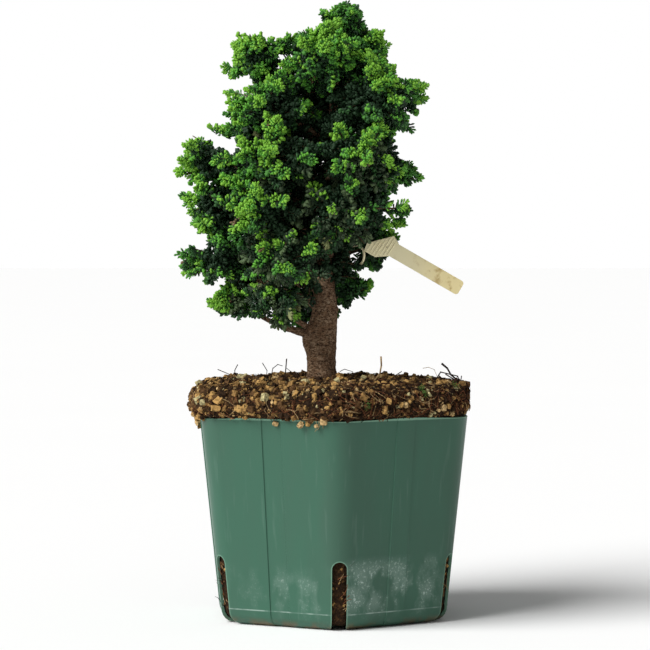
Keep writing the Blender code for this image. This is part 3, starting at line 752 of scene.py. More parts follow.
def joined(name, shapes, rows, finishes_of=None):
    """One mesh of copies of shapes. A row is a shape's number, a frame, a spot and a finish number."""
    heap = Heap()
    for number, shape in enumerate(shapes):
        own = [row[1:] for row in rows if row[0] == number]
        if own:
            frames, spots, finishes = zip(*own)
            heap.put(shape, frames, spots, finishes_of(shape, finishes) if finishes_of else finishes)
    return heap.mesh(name)


def grain_shape(seed, cuts, bluntness):
    """A broken grain: a cube with its edges divided, blunted, and pushed out of true."""
    rng = random.Random(seed)
    bm = bmesh.new()
    bmesh.ops.create_cube(bm, size=1.4)
    if cuts:
        bmesh.ops.subdivide_edges(bm, edges=bm.edges, cuts=cuts, use_grid_fill=True)
    for vertex in bm.verts:
        vertex.co = vertex.co.lerp(vertex.co.normalized(), bluntness) * rng.uniform(*GRAIN_PUSH)
    return arrays_of(bm)


def random_frame(rng, size):
    """A turned frame with three uneven sizes."""
    heading = Matrix.Rotation(rng.uniform(0, math.tau), 3, "Z")
    turned = heading @ Matrix.Rotation(rng.uniform(0, math.pi), 3, "X")
    scale = Matrix.Diagonal([size * rng.uniform(*GRAIN_STRETCH) for _ in range(3)])
    return turned @ Matrix.Rotation(rng.uniform(0, math.tau), 3, "Y") @ scale


def soil_spot(rng):
    """A random place on the soil above the rim, and the direction out of the soil there."""
    face = rng.choices(open_faces, cum_weights=open_areas)[0]
    corners = [vertex.co for vertex in face.verts]
    low, high = sorted((rng.random(), rng.random()))
    return corners[0] * low + corners[1] * (high - low) + corners[2] * (1 - high), face.normal


def slot_spot(rng, depth):
    """A random place in the soil behind one of the slots, and the direction out of that slot."""
    outwards = level_way(math.radians(POT_TURN + 60 * rng.randrange(6)))
    height = rng.uniform(*SLOT_HEIGHTS)
    away = POT_FOOT + SLANT * height - (FOOT_CORNER_ROUND * (ACROSS - 1)) - depth
    if height < FOOT_EDGE_ROUND:
        away -= SLOT_FOOT_DEPTH
    aside = left_of(outwards) * rng.uniform(-SLOT_ASIDE, SLOT_ASIDE)
    return outwards * away + aside + Vector((0, 0, height)), outwards


def rim_spot(x, height, out):
    """The place before the front of the pot's wall at an x and a height."""
    ring = [point for point in wall_ring(min(height, POT_HEIGHT)) if point.y < 0]
    near = min(ring, key=lambda point: abs(point.x - x))
    return Vector((x, near.y - out, height))


def rightness(spot):
    """Nought at the left of the soil and one at the right of its wall."""
    share = min(max(0.5 + spot.x / RIGHT_SPREAD, 0.0), 1.0)
    return share * (TOP_RIGHTNESS if spot.z > SOIL_EDGE[-1][0] else 1.0)


def grit_finish(rng, spot):
    """The number of a grain's colour. Ochre is common on the left, dark crumbs on the right wall."""
    shares = [part_way(ends, rightness(spot)) for ends in zip(LEFT_GRIT, RIGHT_GRIT)]
    return rng.choices(range(len(shares)), shares)[0]


def grit_mesh():
    rng = random.Random(21)
    shapes = [grain_shape(seed, 1, GRAIN_BLUNTNESS) for seed in GRAIN_SHAPES]
    shapes += [grain_shape(seed, 0, 0.0) for seed in CRUMB_SHAPES]
    rows = []

    def put(number, spot, size, finish):
        rows.append((number, random_frame(rng, size), spot, finish))

    for count, sizes, numbers in SCATTER:
        for _ in range(count):
            spot, out = soil_spot(rng)
            size = rng.triangular(*sizes) * (1 - RIGHT_SHRINK * rightness(spot))
            spot += out * size * rng.uniform(*GRAIN_SINK)
            put(rng.choice(numbers), spot, size, grit_finish(rng, spot))
    for x, height, size in RIM_GRAINS:
        put(rng.choice(GRAIN_SHAPES), rim_spot(x, height, size / 2), size, rng.randrange(3))
    for x, y, size, finish in LOOSE_GRAINS:
        spot, _, _, _ = soil_skin.ray_cast(Vector((x, y, 0.2)), Vector((0, 0, -1)))
        put(rng.choice(GRAIN_SHAPES), spot + Vector((0, 0, size / 2)), size, finish)
    for _ in range(6 * CRUMBS_PER_SLOT):
        spot, _ = slot_spot(rng, SLOT_GRIT_DEPTH)
        put(rng.choice(CRUMB_SHAPES), spot, rng.uniform(*SLOT_CRUMBS), rng.choice(SLOT_CRUMB_COLOURS))
    return shaded(joined("grit", shapes, rows), 35)


def stick_shape(sides, taper):
    """A thin tapered rod one unit long, along Z from the origin, one unit in radius."""
    bm = bmesh.new()
    bmesh.ops.create_cone(bm, cap_ends=True, segments=sides, radius1=1.0, radius2=taper, depth=1.0)
    bmesh.ops.translate(bm, vec=(0, 0, 0.5), verts=bm.verts)
    return arrays_of(bm)


def stick_frame(start, end, radius):
    """The frame that lays a stick from start to end."""
    along = end - start
    side = along.orthogonal().normalized() * radius
    other = along.normalized().cross(side)
    return Matrix((side, other, along)).transposed()


def jolt(rng, most):
    """A random push of up to most along each axis."""
    return Vector([rng.uniform(-most, most) for _ in range(3)])


def root_line(rng, spot, out, length):
    """Points of a thin root that wanders over the soil."""
    heading = out.orthogonal().normalized()
    heading.rotate(Matrix.Rotation(rng.uniform(0, math.tau), 3, out))
    lift = rng.uniform(*ROOT_LIFTS)
    points = [spot + out * lift]
    for _ in range(ROOT_STEPS):
        heading = (heading + jolt(rng, ROOT_WANDER)).normalized()
        place, out, _, _ = soil_skin.find_nearest(points[-1] + heading * length / ROOT_STEPS)
        if place.z < SOIL_EDGE[0][0]:
            break
        points.append(place + out * lift)
        heading = (points[-1] - points[-2]).normalized()
    return points


def free_line(rng, spot, heading, length):
    """Points of a thin root that hangs or wanders freely."""
    points = [spot]
    for _ in range(ROOT_STEPS):
        heading = (heading + jolt(rng, HANGING_WANDER)).normalized()
        points.append(points[-1] + heading * length / ROOT_STEPS)
    return points


def roots_mesh():
    rng = random.Random(22)
    rows = []

    def lay(points, thickness, finish):
        for k, (start, end) in enumerate(zip(points, points[1:])):
            radius = thickness * (1 - ROOT_THINNING * k)
            rows.append((0, stick_frame(start, start.lerp(end, ROOT_OVERLAP), radius), start, finish))

    for count, on_wall, shares in ((ROOTS_ON_WALL, True, WALL_ROOTS), (ROOTS_ON_TOP, False, MAT_ROOTS)):
        laid = 0
        while laid < count:
            spot, out = soil_spot(rng)
            likely = ROOT_CHANCE + RIGHT_ROOT_CHANCE * rightness(spot) + TOP_ROOT_CHANCE * (not on_wall)
            if on_wall == (out.z < WALL_LEAN) and rng.random() < likely:
                points = root_line(rng, spot, out, rng.uniform(*ROOT_LENGTHS))
                lay(points, rng.uniform(*ROOT_THICKNESS), rng.choices(range(3), shares)[0])
                laid += 1
    for _ in range(6 * ROOTS_PER_SLOT):
        spot, out = slot_spot(rng, SLOT_ROOT_DEPTH)
        aim = (-out).orthogonal().normalized()
        points = free_line(rng, spot, aim, rng.uniform(*SLOT_ROOT_LENGTHS))
        if min(point.z for point in points) > ROOT_THICKNESS[1]:
            lay(points, rng.uniform(*ROOT_THICKNESS), rng.choices(range(3), SLOT_ROOTS)[0])
    for x, length in HANGING_ROOTS:
        spot = rim_spot(x, POT_HEIGHT, HANGING_GAP)
        lay(free_line(rng, spot, HANGING_WAY, length), HANGING_THICKNESS, PALE)
    for finish, thickness, y, corners in STRAY_TWIGS:
        lay([Vector((x, y, z)) for x, z in corners], thickness, finish)
    for x, height in MOSS_SPOTS:
        middle, out, _, _ = soil_skin.ray_cast(Vector((x, -0.2, height)), Vector((0, 1, 0)))
        for _ in range(MOSS_BLADES):
            root = middle + Vector([rng.gauss(0, MOSS_WIDTH / 2) for _ in range(3)]) * MOSS_CROWDING
            aim = (out + jolt(rng, MOSS_WANDER)).normalized()
            lay([root, root + out * MOSS_RISE + aim * rng.uniform(*MOSS_BLADE)], MOSS_THICKNESS, MOSS)
    return joined("roots", [stick_shape(4, 0.9)], rows)


def soil_material():
    """Dark crumbly soil."""
    material, shader, place = new_material("dark soil", 0.95, SOIL_DARK, 0.1)
    crumbs = place.noise(700.0, 5.0, 0.7)
    patches = place.noise(130.0, 3.0).rises(0.4, 0.65)
    warm = crumbs.rises(0.42, 0.68) * (patches * 0.6 + 0.3)
    feed(shader, "Base Color", warm.blend(SOIL_DARK, SOIL_WARM))
    feed(shader, "Normal", crumbs.bump(1.0, 0.0016))
    return material


def speckled(name, colour, roughness, scale, darkest):
    """A dry natural finish: a colour that is darker in its pits, with a rough surface."""
    material, shader, place = new_material(name, roughness, colour, 0.1)
    pits = place.noise(scale, 3.0, 0.65)
    dark = [channel * darkest for channel in colour[:3]] + [1]
    feed(shader, "Base Color", pits.rises(0.32, 0.60).blend(dark, colour))
    feed(shader, "Normal", pits.bump(0.8, 0.0008))
    return material


soil_shape = soil_core_shape()
soil_skin = BVHTree.FromBMesh(soil_shape)
open_faces = [face for face in soil_shape.faces if min(v.co.z for v in face.verts) > SOIL_EDGE[0][0] - 1e-5]
open_areas = list(accumulate(face.calc_area() for face in open_faces))
grit_finishes = [speckled(name, tint, 0.92, 900.0, 0.30) for name, tint in GRIT_COLOURS]
root_finishes = [speckled(name, tint, 0.85, 500.0, 0.6) for name, tint in ROOT_COLOURS]
grit = new_piece("grit", grit_mesh(), grit_finishes)
roots = new_piece("roots", roots_mesh(), root_finishes)
soil_core = new_piece("soil_core", mesh_of("soil_core", soil_shape), [soil_material()])
soil_core.data.shade_smooth()
for piece in (soil_core, grit, roots):
    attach(piece, "root")
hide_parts("soil")

# The trunk and boughs: rough grey-brown bark over one tapering stem with a small root flare, and over
# limbs that leave it rising. Each limb runs to the mass of foliage that it carries.
TRUNK = (
    (0.0985, -0.0040, 0.0000, 0.0061),  # height, x, y, radius
    (0.1050, -0.0041, 0.0000, 0.0060),
    (0.1120, -0.0038, 0.0001, 0.0062),
    (0.1230, -0.0029, 0.0003, 0.0056),
    (0.1315, -0.0026, 0.0004, 0.0050),
    (0.1400, -0.0030, 0.0004, 0.0044),
    (0.1550, -0.0024, 0.0000, 0.0040),
    (0.1750, -0.0008, -0.0006, 0.0034),
    (0.1950, 0.0008, -0.0004, 0.0029),
    (0.2150, 0.0016, 0.0004, 0.0022),
    (0.2370, 0.0030, 0.0000, 0.0013),
)
TRUNK_SIDES = 72
TRUNK_RINGS = 260
RING_CROWDING = 1.35  # how much closer the trunk's rings lie at its foot
ROOT_FLARE = 0.0016
ROOT_FLARE_HEIGHT = 0.0035
ROOT_COUNT = 5
BARK_DEPTH = 0.00042
BARK_FULL_RADIUS = 0.005  # bark is shallower where the trunk is thinner than this
BARK_RIDGES = 520
BARK_CRACKS = 900
KNOBS = (
    (0.1275, 10, 0.0009, 0.0016),  # height, direction, how far out, and size
    (0.1158, 182, 0.0026, 0.0056),
    (0.1306, -72, 0.0008, 0.0011),
)
KNOT = (-0.0009, -0.0058, 0.1306)
KNOT_EDGE = (0.0008, 0.0014)
# Each tier has its name, height and rise at the right, how far its masses stand to the left, to the right
# and in depth, their sizes outwards, along and up, the right ones' share of that, and their directions.
TIERS = (
    ("skirt", 0.1290, 0.0060, (0.0375, 0.013, 0.020), (0.0120, 0.0150, 0.0095), 0.75, (15, 100, 180, 236)),
    ("low", 0.1490, 0.0045, (0.0465, 0.019, 0.025), (0.0150, 0.0200, 0.0125), 0.70, (5, 75, 138, 186, 248)),
    ("waist", 0.1695, 0, (0.046, 0.0185, 0.027), (0.016, 0.020, 0.013), 0.95, (0, 55, 115, 180, 232, 293)),
    ("middle", 0.1900, 0, (0.0485, 0.0215, 0.0275), (0.017, 0.021, 0.013), 1, (0, 60, 120, 180, 240, 302)),
    ("shoulder", 0.2110, 0.0040, (0.0325, 0.023, 0.024), (0.015, 0.0195, 0.013), 1, (0, 85, 150, 214, 318)),
    ("upper", 0.2330, 0, (0.0335, 0.0105, 0.016), (0.0145, 0.0150, 0.0125), 0.85, (5, 100, 180, 258)),
)
TOP_MASS = ((0.0038, 0.0, 0.2455), (0.0105, 0.0105, 0.0105))
LIMB_RISE = 0.42
LIMB_STAGGER = 0.0028
LOWEST_LIMB = 0.1130
LIMB_SAG = 0.10
LIMB_BEND = 0.55
LIMB_ROOT = 0.0009
LIMB_ROOT_GROWTH = 0.028
LIMB_ON_TRUNK = 0.8
LIMB_TIP = 0.0008
LIMB_END = 0.80
LIMB_RINGS = 40
LIMB_COLLAR = 1.1  # how much thicker a limb is where it leaves the trunk, and over how many rings
LIMB_COLLAR_RINGS = 4
LIMB_SIDES = 16
LIMB_RELIEF = 0.22
LIMB_RELIEF_SCALE = 700
BARK_BROWN = (0.225, 0.130, 0.073, 1)
BARK_DARK = (0.040, 0.022, 0.013, 1)
BARK_GREY = (0.380, 0.265, 0.170, 1)
BARK_PALE = (0.480, 0.360, 0.240, 1)


def on_trunk(height):
    """The trunk's middle and its radius at a height."""
    heights, xs, ys, radii = zip(*TRUNK)
    x, y, radius = (float(np.interp(height, heights, values)) for values in (xs, ys, radii))
    return Vector((x, y, height)), radius


class Mass:
    """The space of one mass of foliage: an ellipsoid that faces away from the trunk."""

    def __init__(self, tier, number, direction, centre, sizes):
        self.tier = tier
        self.number = number
        self.name = f"{tier}_{number}" if number else tier
        self.centre = centre
        self.sizes = sizes
        outwards = level_way(math.radians(direction))
        self.axes = (outwards, left_of(outwards), Vector((0, 0, 1)))
        self.borders = []

    def reach(self, aim):
        """How far the space goes from its centre along a unit vector."""
        return 1 / math.sqrt(sum((aim.dot(axis) / size) ** 2 for axis, size in zip(self.axes, self.sizes)))


def place_masses():
    masses = []
    for tier, height, right_rise, reaches, sizes, right_share, directions in TIERS:
        left, right, depth = reaches
        for number, direction in enumerate(directions, 1):
            across = math.cos(math.radians(direction))
            centre, _ = on_trunk(height)
            centre.x += across * (right if across > 0 else left)
            centre.y += math.sin(math.radians(direction)) * depth
            centre.z += right_rise * max(across, 0)
            share = 1 - (1 - right_share) * max(across, 0)
            masses.append(Mass(tier, number, direction, centre, [size * share for size in sizes]))
    masses.append(Mass("top", 0, 0, Vector(TOP_MASS[0]), TOP_MASS[1]))
    for mass in masses:
        set_borders(mass, masses)
        route_limb(mass)
    return masses


def set_borders(mass, masses):
    """A plane between each two masses, nearer to the smaller one."""
    for other in masses:
        if other is not mass:
            between = other.centre - mass.centre
            aim = between.normalized()
            share = mass.reach(aim) / (mass.reach(aim) + other.reach(-aim))
            mass.borders.append((aim, between.length * share))


def curve_points(start, bend, end, count):
    """Points on a curve that leaves start towards bend and comes to end from it."""
    shares = [k / (count - 1) for k in range(count)]
    return [start * (1 - t) ** 2 + bend * (2 * t * (1 - t)) + end * t**2 for t in shares]


def route_limb(mass):
    """The limb from the trunk to the mass, as points and radii."""
    if mass.tier == "top":
        mass.limb = []
        mass.stem_start, _ = on_trunk(TRUNK[-1][0])
        return
    axis, _ = on_trunk(mass.centre.z)
    reach = (mass.centre - axis).length
    leaving = mass.centre.z - LIMB_RISE * reach + LIMB_STAGGER * (mass.number % 2)
    start, radius = on_trunk(max(leaving, LOWEST_LIMB))
    towards = (mass.centre - start).normalized()
    end = mass.centre - towards * mass.reach(towards) * LIMB_END
    bend = start.lerp(end, LIMB_BEND) - Vector((0, 0, LIMB_SAG * (end - start).length))
    root = min(LIMB_ROOT + LIMB_ROOT_GROWTH * reach, radius * LIMB_ON_TRUNK)
    points = curve_points(start, bend, end, LIMB_RINGS)
    radii = [root + (LIMB_TIP - root) * k / (LIMB_RINGS - 1) for k in range(LIMB_RINGS)]
    mass.limb = list(zip(points, radii))
    mass.stem_start = end


def bark_relief(turn, reach, height):
    """How far bark stands out: long ridges down the stem, broken by small cracks."""
    round_it = Vector((math.cos(turn) * reach, math.sin(turn) * reach, height * 0.5))
    ridges = 1 - 2.4 * abs(noise.noise(round_it * BARK_RIDGES))
    cracks = noise.noise(Vector((round_it.x, round_it.y, height)) * BARK_CRACKS)
    return 0.65 * ridges + 0.5 * cracks - 0.8


def trunk_ring(height):
    centre, radius = on_trunk(height)
    flare = ROOT_FLARE * math.exp((TRUNK[0][0] - height) / ROOT_FLARE_HEIGHT)
    ring = []
    for side in range(TRUNK_SIDES):
        turn = math.tau * side / TRUNK_SIDES
        reach = radius + flare * (0.5 + 0.5 * math.cos(ROOT_COUNT * turn))
        for level, direction, out, size in KNOBS:
            off = math.remainder(turn - math.radians(direction), math.tau) * radius
            reach += out * math.exp(-(off**2 + (height - level) ** 2) / size**2)
        reach += BARK_DEPTH * min(radius / BARK_FULL_RADIUS, 1.0) * bark_relief(turn, reach, height)
        ring.append(centre + level_way(turn) * reach)
    return ring


def limb_rings(limb):
    """Rings round a limb, with bark relief, kept from twisting by carrying one side along."""
    rings = []
    side = Vector((0, 0, 1))
    for k, (point, radius) in enumerate(limb):
        ahead = limb[min(k + 1, len(limb) - 1)][0]
        behind = limb[max(k - 1, 0)][0]
        along = (ahead - behind).normalized()
        side = (side - along * side.dot(along)).normalized()
        other = along.cross(side)
        ring = []
        for number in range(LIMB_SIDES):
            turn = math.tau * number / LIMB_SIDES
            relief = noise.noise(Vector((point.x, point.y + turn * 0.01, point.z)) * LIMB_RELIEF_SCALE)
            reach = radius * (1 + LIMB_RELIEF * relief + LIMB_COLLAR * math.exp(-k / LIMB_COLLAR_RINGS))
            ring.append(point + (side * math.cos(turn) + other * math.sin(turn)) * reach)
        rings.append(ring)
    return rings


def wood_mesh(masses):
    foot, tip = TRUNK[0][0], TRUNK[-1][0]
    heights = [foot + (tip - foot) * (k / (TRUNK_RINGS - 1)) ** RING_CROWDING for k in range(TRUNK_RINGS)]
    bm = bmesh.new()
    grow_wall(bm, [trunk_ring(height) for height in heights], close_end=True)
    for mass in masses:
        if mass.limb:
            grow_wall(bm, limb_rings(mass.limb), close_end=True)
    bmesh.ops.recalc_face_normals(bm, faces=bm.faces)
    mesh = mesh_of("trunk_and_boughs", bm)
    mesh.shade_smooth()
    return mesh


def bark_material():
    """Warm brown bark: dark in its cracks, grey on its ridges, with small pale flecks and a pale knot."""
    material, shader, place = new_material("bark", 0.9, BARK_BROWN, 0.1)
    fibres = place.stretched(1, 1, 2.2).noise(760.0, 6.0, 0.7)
    patches = place.noise(300.0, 4.0, 0.6)
    flecks = place.noise(1700.0, 2.0, 0.6).rises(0.56, 0.68)
    colour = fibres.rises(0.38, 0.58).blend(BARK_DARK, BARK_BROWN)
    colour = (patches.rises(0.42, 0.66) * fibres.rises(0.42, 0.62)).blend(colour, BARK_GREY)
    colour = (flecks * 0.55).blend(colour, BARK_PALE)
    from_knot = place.node("VectorMath", {"operation": "DISTANCE"}, {0: place, 1: KNOT}, 1)
    colour = ((1 - from_knot.rises(*KNOT_EDGE)) * 0.85).blend(colour, BARK_PALE)
    feed(shader, "Base Color", colour)
    feed(shader, "Normal", (fibres + patches * 0.5).bump(0.7, 0.0008))
    return material


masses = place_masses()
wood = new_piece("trunk_and_boughs", wood_mesh(masses), [bark_material()])
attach(wood, "root")
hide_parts("trunk", *[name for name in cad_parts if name.startswith("bough_")])

# The name tag: a blank strip of aged ivory plastic with a ribbed head. A thin loop of the same plastic
# goes through the head and round a bough.
TAG_PLACE = (0.0136, -0.0085, 0.1518)
TAG_SLOPE = 30.0
TAG_HEAD = ((-0.0006, 0.0035), (0.0, 0.0), (0.0052, 0.0001), (0.0101, 0.0034))
TAG_HEAD_TOP = ((0.0113, 0.0096), (0.0077, 0.0117))
TAG_BLADE = (0.0034, 0.0096, 0.0425)  # its lower edge, its upper edge and its end
TAG_CORNER = 0.0013
TAG_CORNER_STEPS = 6
TAG_THICKNESS = 0.0006
TAG_EDGE = 0.00012
RIBS = 7
RIB_AREA = ((0.0006, 0.0009), (0.0100, 0.0092))
RIB_TURN = 86
RIB_RADIUS = 0.00025
RIB_LEAN = 0.1  # how much lower the ribs lie towards the blade
RIB_STEP = 0.0003  # steps along a rib, and how many are tried each way from its middle
RIB_STEPS = 30
LOOP_MIDDLE = (0.0106, -0.0028, 0.1500)
LOOP_TURN = 118
LOOP_SIZES = (0.0066, 0.0042)
LOOP_RADIUS = 0.0005
LOOP_POINTS = 40
ROUND_SIDES = 10  # of a rib and of the loop
TAG_STAINS = (0.014, 0.036)  # how far along the tag the stains start, and where they are full
TAG_IVORY = (0.800, 0.680, 0.350, 1)
TAG_OCHRE = (0.460, 0.310, 0.095, 1)
TAG_PALE = (0.870, 0.790, 0.500, 1)

tag_place = Matrix.Translation(TAG_PLACE) @ Matrix.Rotation(math.radians(TAG_SLOPE), 4, "Y")


def tag_outline():
    lower, upper, end = TAG_BLADE
    outline = list(TAG_HEAD)
    for height, first in ((lower + TAG_CORNER, -90), (upper - TAG_CORNER, 0)):
        for step in range(TAG_CORNER_STEPS + 1):
            swing = math.radians(first + 90 * step / TAG_CORNER_STEPS)
            across = end - TAG_CORNER + TAG_CORNER * math.cos(swing)
            outline.append((across, height + TAG_CORNER * math.sin(swing)))
    return outline + list(TAG_HEAD_TOP)


def inside(spot, outline):
    """True if a flat spot lies inside an outline."""
    x, y = spot
    found = False
    for (x1, y1), (x2, y2) in zip(outline, outline[1:] + outline[:1]):
        if (y1 > y) != (y2 > y) and x < (x2 - x1) * (y - y1) / (y2 - y1) + x1:
            found = not found
    return found


def tag_mesh():
    outline = tag_outline()
    bm = bmesh.new()
    sides = (-TAG_THICKNESS / 2, TAG_THICKNESS / 2)
    grow_wall(bm, [[(x, side, z) for x, z in outline] for side in sides], close_end=True)
    bmesh.ops.recalc_face_normals(bm, faces=bm.faces)
    rims = [edge for edge in bm.edges if abs(edge.verts[0].co.y - edge.verts[1].co.y) < 1e-7]
    bmesh.ops.bevel(bm, geom=rims, offset=TAG_EDGE, affect="EDGES", segments=2, profile=0.5, material=-1)
    add_ribs(bm)
    bmesh.ops.transform(bm, matrix=tag_place, verts=bm.verts)
    grow_wall(bm, loop_rings(), close_start=False)
    bmesh.ops.remove_doubles(bm, verts=bm.verts, dist=1e-7)
    bmesh.ops.recalc_face_normals(bm, faces=bm.faces)
    return shaded(mesh_of("name_tag", bm), 40)


def add_ribs(bm):
    """Low half-round ribs across the head, each as long as the head is there."""
    (left, low), (right, high) = RIB_AREA
    along = Vector((math.cos(math.radians(RIB_TURN)), 0, math.sin(math.radians(RIB_TURN))))
    upright = along.to_track_quat("Z", "Y").to_matrix().to_4x4()
    head = list(TAG_HEAD) + list(TAG_HEAD_TOP)
    for k in range(RIBS):
        middle = Vector((left + (right - left) * (k + 0.5) / RIBS, 0, (low + high) / 2))
        middle.z -= (middle.x - (left + right) / 2) * RIB_LEAN
        spans = [middle + along * (RIB_STEP * step) for step in range(-RIB_STEPS, RIB_STEPS + 1)]
        spans = [spot for spot in spans if inside((spot.x, spot.z), head)]
        if len(spans) > 4:
            start, end = spans[1], spans[-2]
            place = Matrix.Translation((start + end) / 2 - Vector((0, TAG_THICKNESS / 2, 0)))
            bmesh.ops.create_cone(
                bm,
                cap_ends=True,
                segments=ROUND_SIDES,
                radius1=RIB_RADIUS,
                radius2=RIB_RADIUS,
                depth=(end - start).length,
                matrix=place @ upright,
            )


def loop_rings():
    """Rings round the loop, with the first one given again at the end."""
    way = level_way(math.radians(LOOP_TURN))
    across = left_of(way)
    rings = []
    for k in range(LOOP_POINTS + 1):
        swing = math.tau * (k % LOOP_POINTS) / LOOP_POINTS
        middle = Vector(LOOP_MIDDLE) + way * LOOP_SIZES[0] * math.cos(swing)
        middle.z += LOOP_SIZES[1] * math.sin(swing)
        outwards = (way * math.cos(swing) * LOOP_SIZES[1] + Vector((0, 0, math.sin(swing) * LOOP_SIZES[0])))
        outwards.normalize()
        ring = []
        for side in range(ROUND_SIDES):
            around = math.tau * side / ROUND_SIDES
            ring.append(middle + (outwards * math.cos(around) + across * math.sin(around)) * LOOP_RADIUS)
        rings.append(ring)
    return rings


def tag_material():
    """Ivory plastic that has yellowed, with ochre stains towards its end."""
    material, shader, place = new_material("tag ivory", 0.5, TAG_IVORY)
    towards_end = place.axis("X").rises(*(TAG_PLACE[0] + far for far in TAG_STAINS))
    blotches = place.noise(260.0, 4.0, 0.6)
    colour = towards_end.blend(TAG_PALE, TAG_IVORY)
    colour = (blotches.rises(0.50, 0.70) * (towards_end * 0.75 + 0.15)).blend(colour, TAG_OCHRE)
    feed(shader, "Base Color", colour)
    feed(shader, "Roughness", blotches * 0.3 + 0.35)
    feed(shader, "Normal", blotches.bump(0.2, 0.0004))
    return material


tag = new_piece("name_tag", tag_mesh(), [tag_material()])
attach(tag, "root")
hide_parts("label")

# The foliage: from the end of each limb a stem goes into its mass, and twigs branch from that evenly
# all round. Fans of blunt scaly fingers stand along the twigs, bright where they are young. Sprays that
# point up get painted light, and deep sprays and the faces behind each finger's tip get painted shade.
CROWN_MIDDLE = 0.185
CROWN_FLATNESS = 0.5
CROWN_MARGIN = Vector((0.0020, 0.0020, 0.0))  # how far a spray may reach past the box of the CAD model
# How much a mass swells where its neighbours are, how many twigs it has, and how young its growth is.
FILL = dict(skirt=0.08, low=0.32, waist=0.50, middle=0.50, shoulder=0.50, upper=0.42, top=0.20)
TWIGS = dict(skirt=22, low=27, waist=30, middle=31, shoulder=31, upper=32, top=28)
YOUTH = dict(skirt=-0.02, low=-0.08, waist=0.06, middle=0.26, shoulder=0.15, upper=0.30, top=0.24)
GOLDEN_ANGLE = math.pi * (3 - math.sqrt(5))
TWIG_WANDER = 0.26
TWIG_RETREAT = 0.32  # the most that a twig falls short of its mass's edge
LONG_TWIGS = 0.25  # the share of twigs that stand out, and how far
LONG_TWIG = 0.0015
TWIG_BEND = 0.18  # how far a twig swings aside on its way, as a share of its length
TWIG_SHORT = 0.8  # how far a twig ends short of its room, as a share of the shortest spray
LEAST_TWIG = 0.4  # the least share of its room that it fills
TWIG_RADIUS = 0.00038
TWIG_BROWN = (0.110, 0.075, 0.040, 1)
STEM_RADIUS = 0.0008
SPRAYS_ON_TWIG = 15
FIRST_SPRAY = 0.28  # how far along its twig the first spray stands
SPRAY_ANGLES = (80, 8)  # degrees between spray and twig, from the first spray to the last
ANGLE_WANDER = 15
SPRAY_LENGTHS = (0.0044, 0.0068)
SPRAY_FOOT = 0.85  # where a spray that is moved inwards has its root, as a share of its length
LIMB_TWIGS = 8
LIMB_TWIG_START = 0.30  # where the twigs along a limb start, and the share of it that they take up
LIMB_TWIG_SPAN = 0.65
LIMB_FIRST_SPRAY = 0.25
INNER_TWIG = (0.0065, 0.0115)
TRUNK_TWIG = 0.0140
TRUNK_TWIG_RISE = 0.6
TRUNK_FIRST_SPRAY = 0.4
INNER_SPRAYS = 5
INNER_FOOT = 0.1400  # the lowest inner twig
INNER_STEP = 0.0012  # between the twigs on the trunk
FINE_DEPTH = 0.0065  # deeper sprays have fewer and broader fingers
INNER_DEPTH = FINE_DEPTH * 1.7  # the least depth that an inner spray counts as having, so that it is broad and painted dark as shade
SPARSE_DEPTH = 0.0130
SPARSE_SHARE = 0.65
FANS = (
    (8, 8, 4, 0.00068, (60, 16)),  # number of shapes, fingers, sides of a finger, half its width, its angles
    (3, 8, 4, 0.00058, (36, 8)),
    (4, 5, 3, 0.00115, (62, 14)),
)
FINGER_STARTS = (0.10, 0.62)  # shares of the spray's length, for the first finger and the last
FINGER_LENGTHS = (0.56, 0.36)
FINGER_GROWTH = (0.84, 1.12)  # how uneven the fingers' lengths are
FINGER_WANDER = 8
FINGER_TILT = 24
FINGER_ROLL = 0.5
FINGER_FLATNESS = 0.60
FINGER_SHOULDER = 0.76
FINGER_ROOT = 0.45
TAG_MARGIN = 0.0012
TAG_DEPTH = 0.0030  # how far behind the tag growth may begin
TAG_START = -0.001
# The deep and dark greens also stand for painted shade, inside the crown and behind the fingers' tips.
GREENS = (
    ("lime tip", (0.175, 0.405, 0.034, 1)),
    ("bright green", (0.092, 0.305, 0.028, 1)),
    ("mid green", (0.050, 0.188, 0.024, 1)),
    ("deep green", (0.024, 0.088, 0.020, 1)),
    ("dark green", (0.009, 0.033, 0.010, 1)),
    ("sage", (0.078, 0.122, 0.050, 1)),
    ("dull sage", (0.036, 0.060, 0.027, 1)),
    ("olive tip", (0.200, 0.225, 0.090, 1)),
    ("dead brown", (0.160, 0.100, 0.055, 1)),
)
LIME, BRIGHT, MID, DEEP, DARK, SAGE, DULL_SAGE, OLIVE, BROWN = range(9)
# For each tip colour, the darker colour of the faces behind a finger's tip: partly the older green of its
# root, partly painted shade between the fingers.
BASE_SHADE_OF_TIP = (MID, DEEP, DARK, DARK, DARK, DULL_SAGE, DARK, DULL_SAGE, DULL_SAGE)
OUTER_YOUTH = 10.0  # how much younger growth is for each metre from the trunk, past the usual way from it
USUAL_AWAY = 0.026
# How much brighter a spray is painted for pointing up, as painted light from above.
UPWARD_LIGHT = 0.24
PATCH_YOUTH = 0.60
SPOT_YOUTH = 0.6
CHANCE_YOUTH = (0.08, 0.20)
DEPTH_SHADE_AND_AGE = 38  # how much older and darker growth is for each metre below the crown's skin: partly real age, partly painted shade
SKIN = 0.001
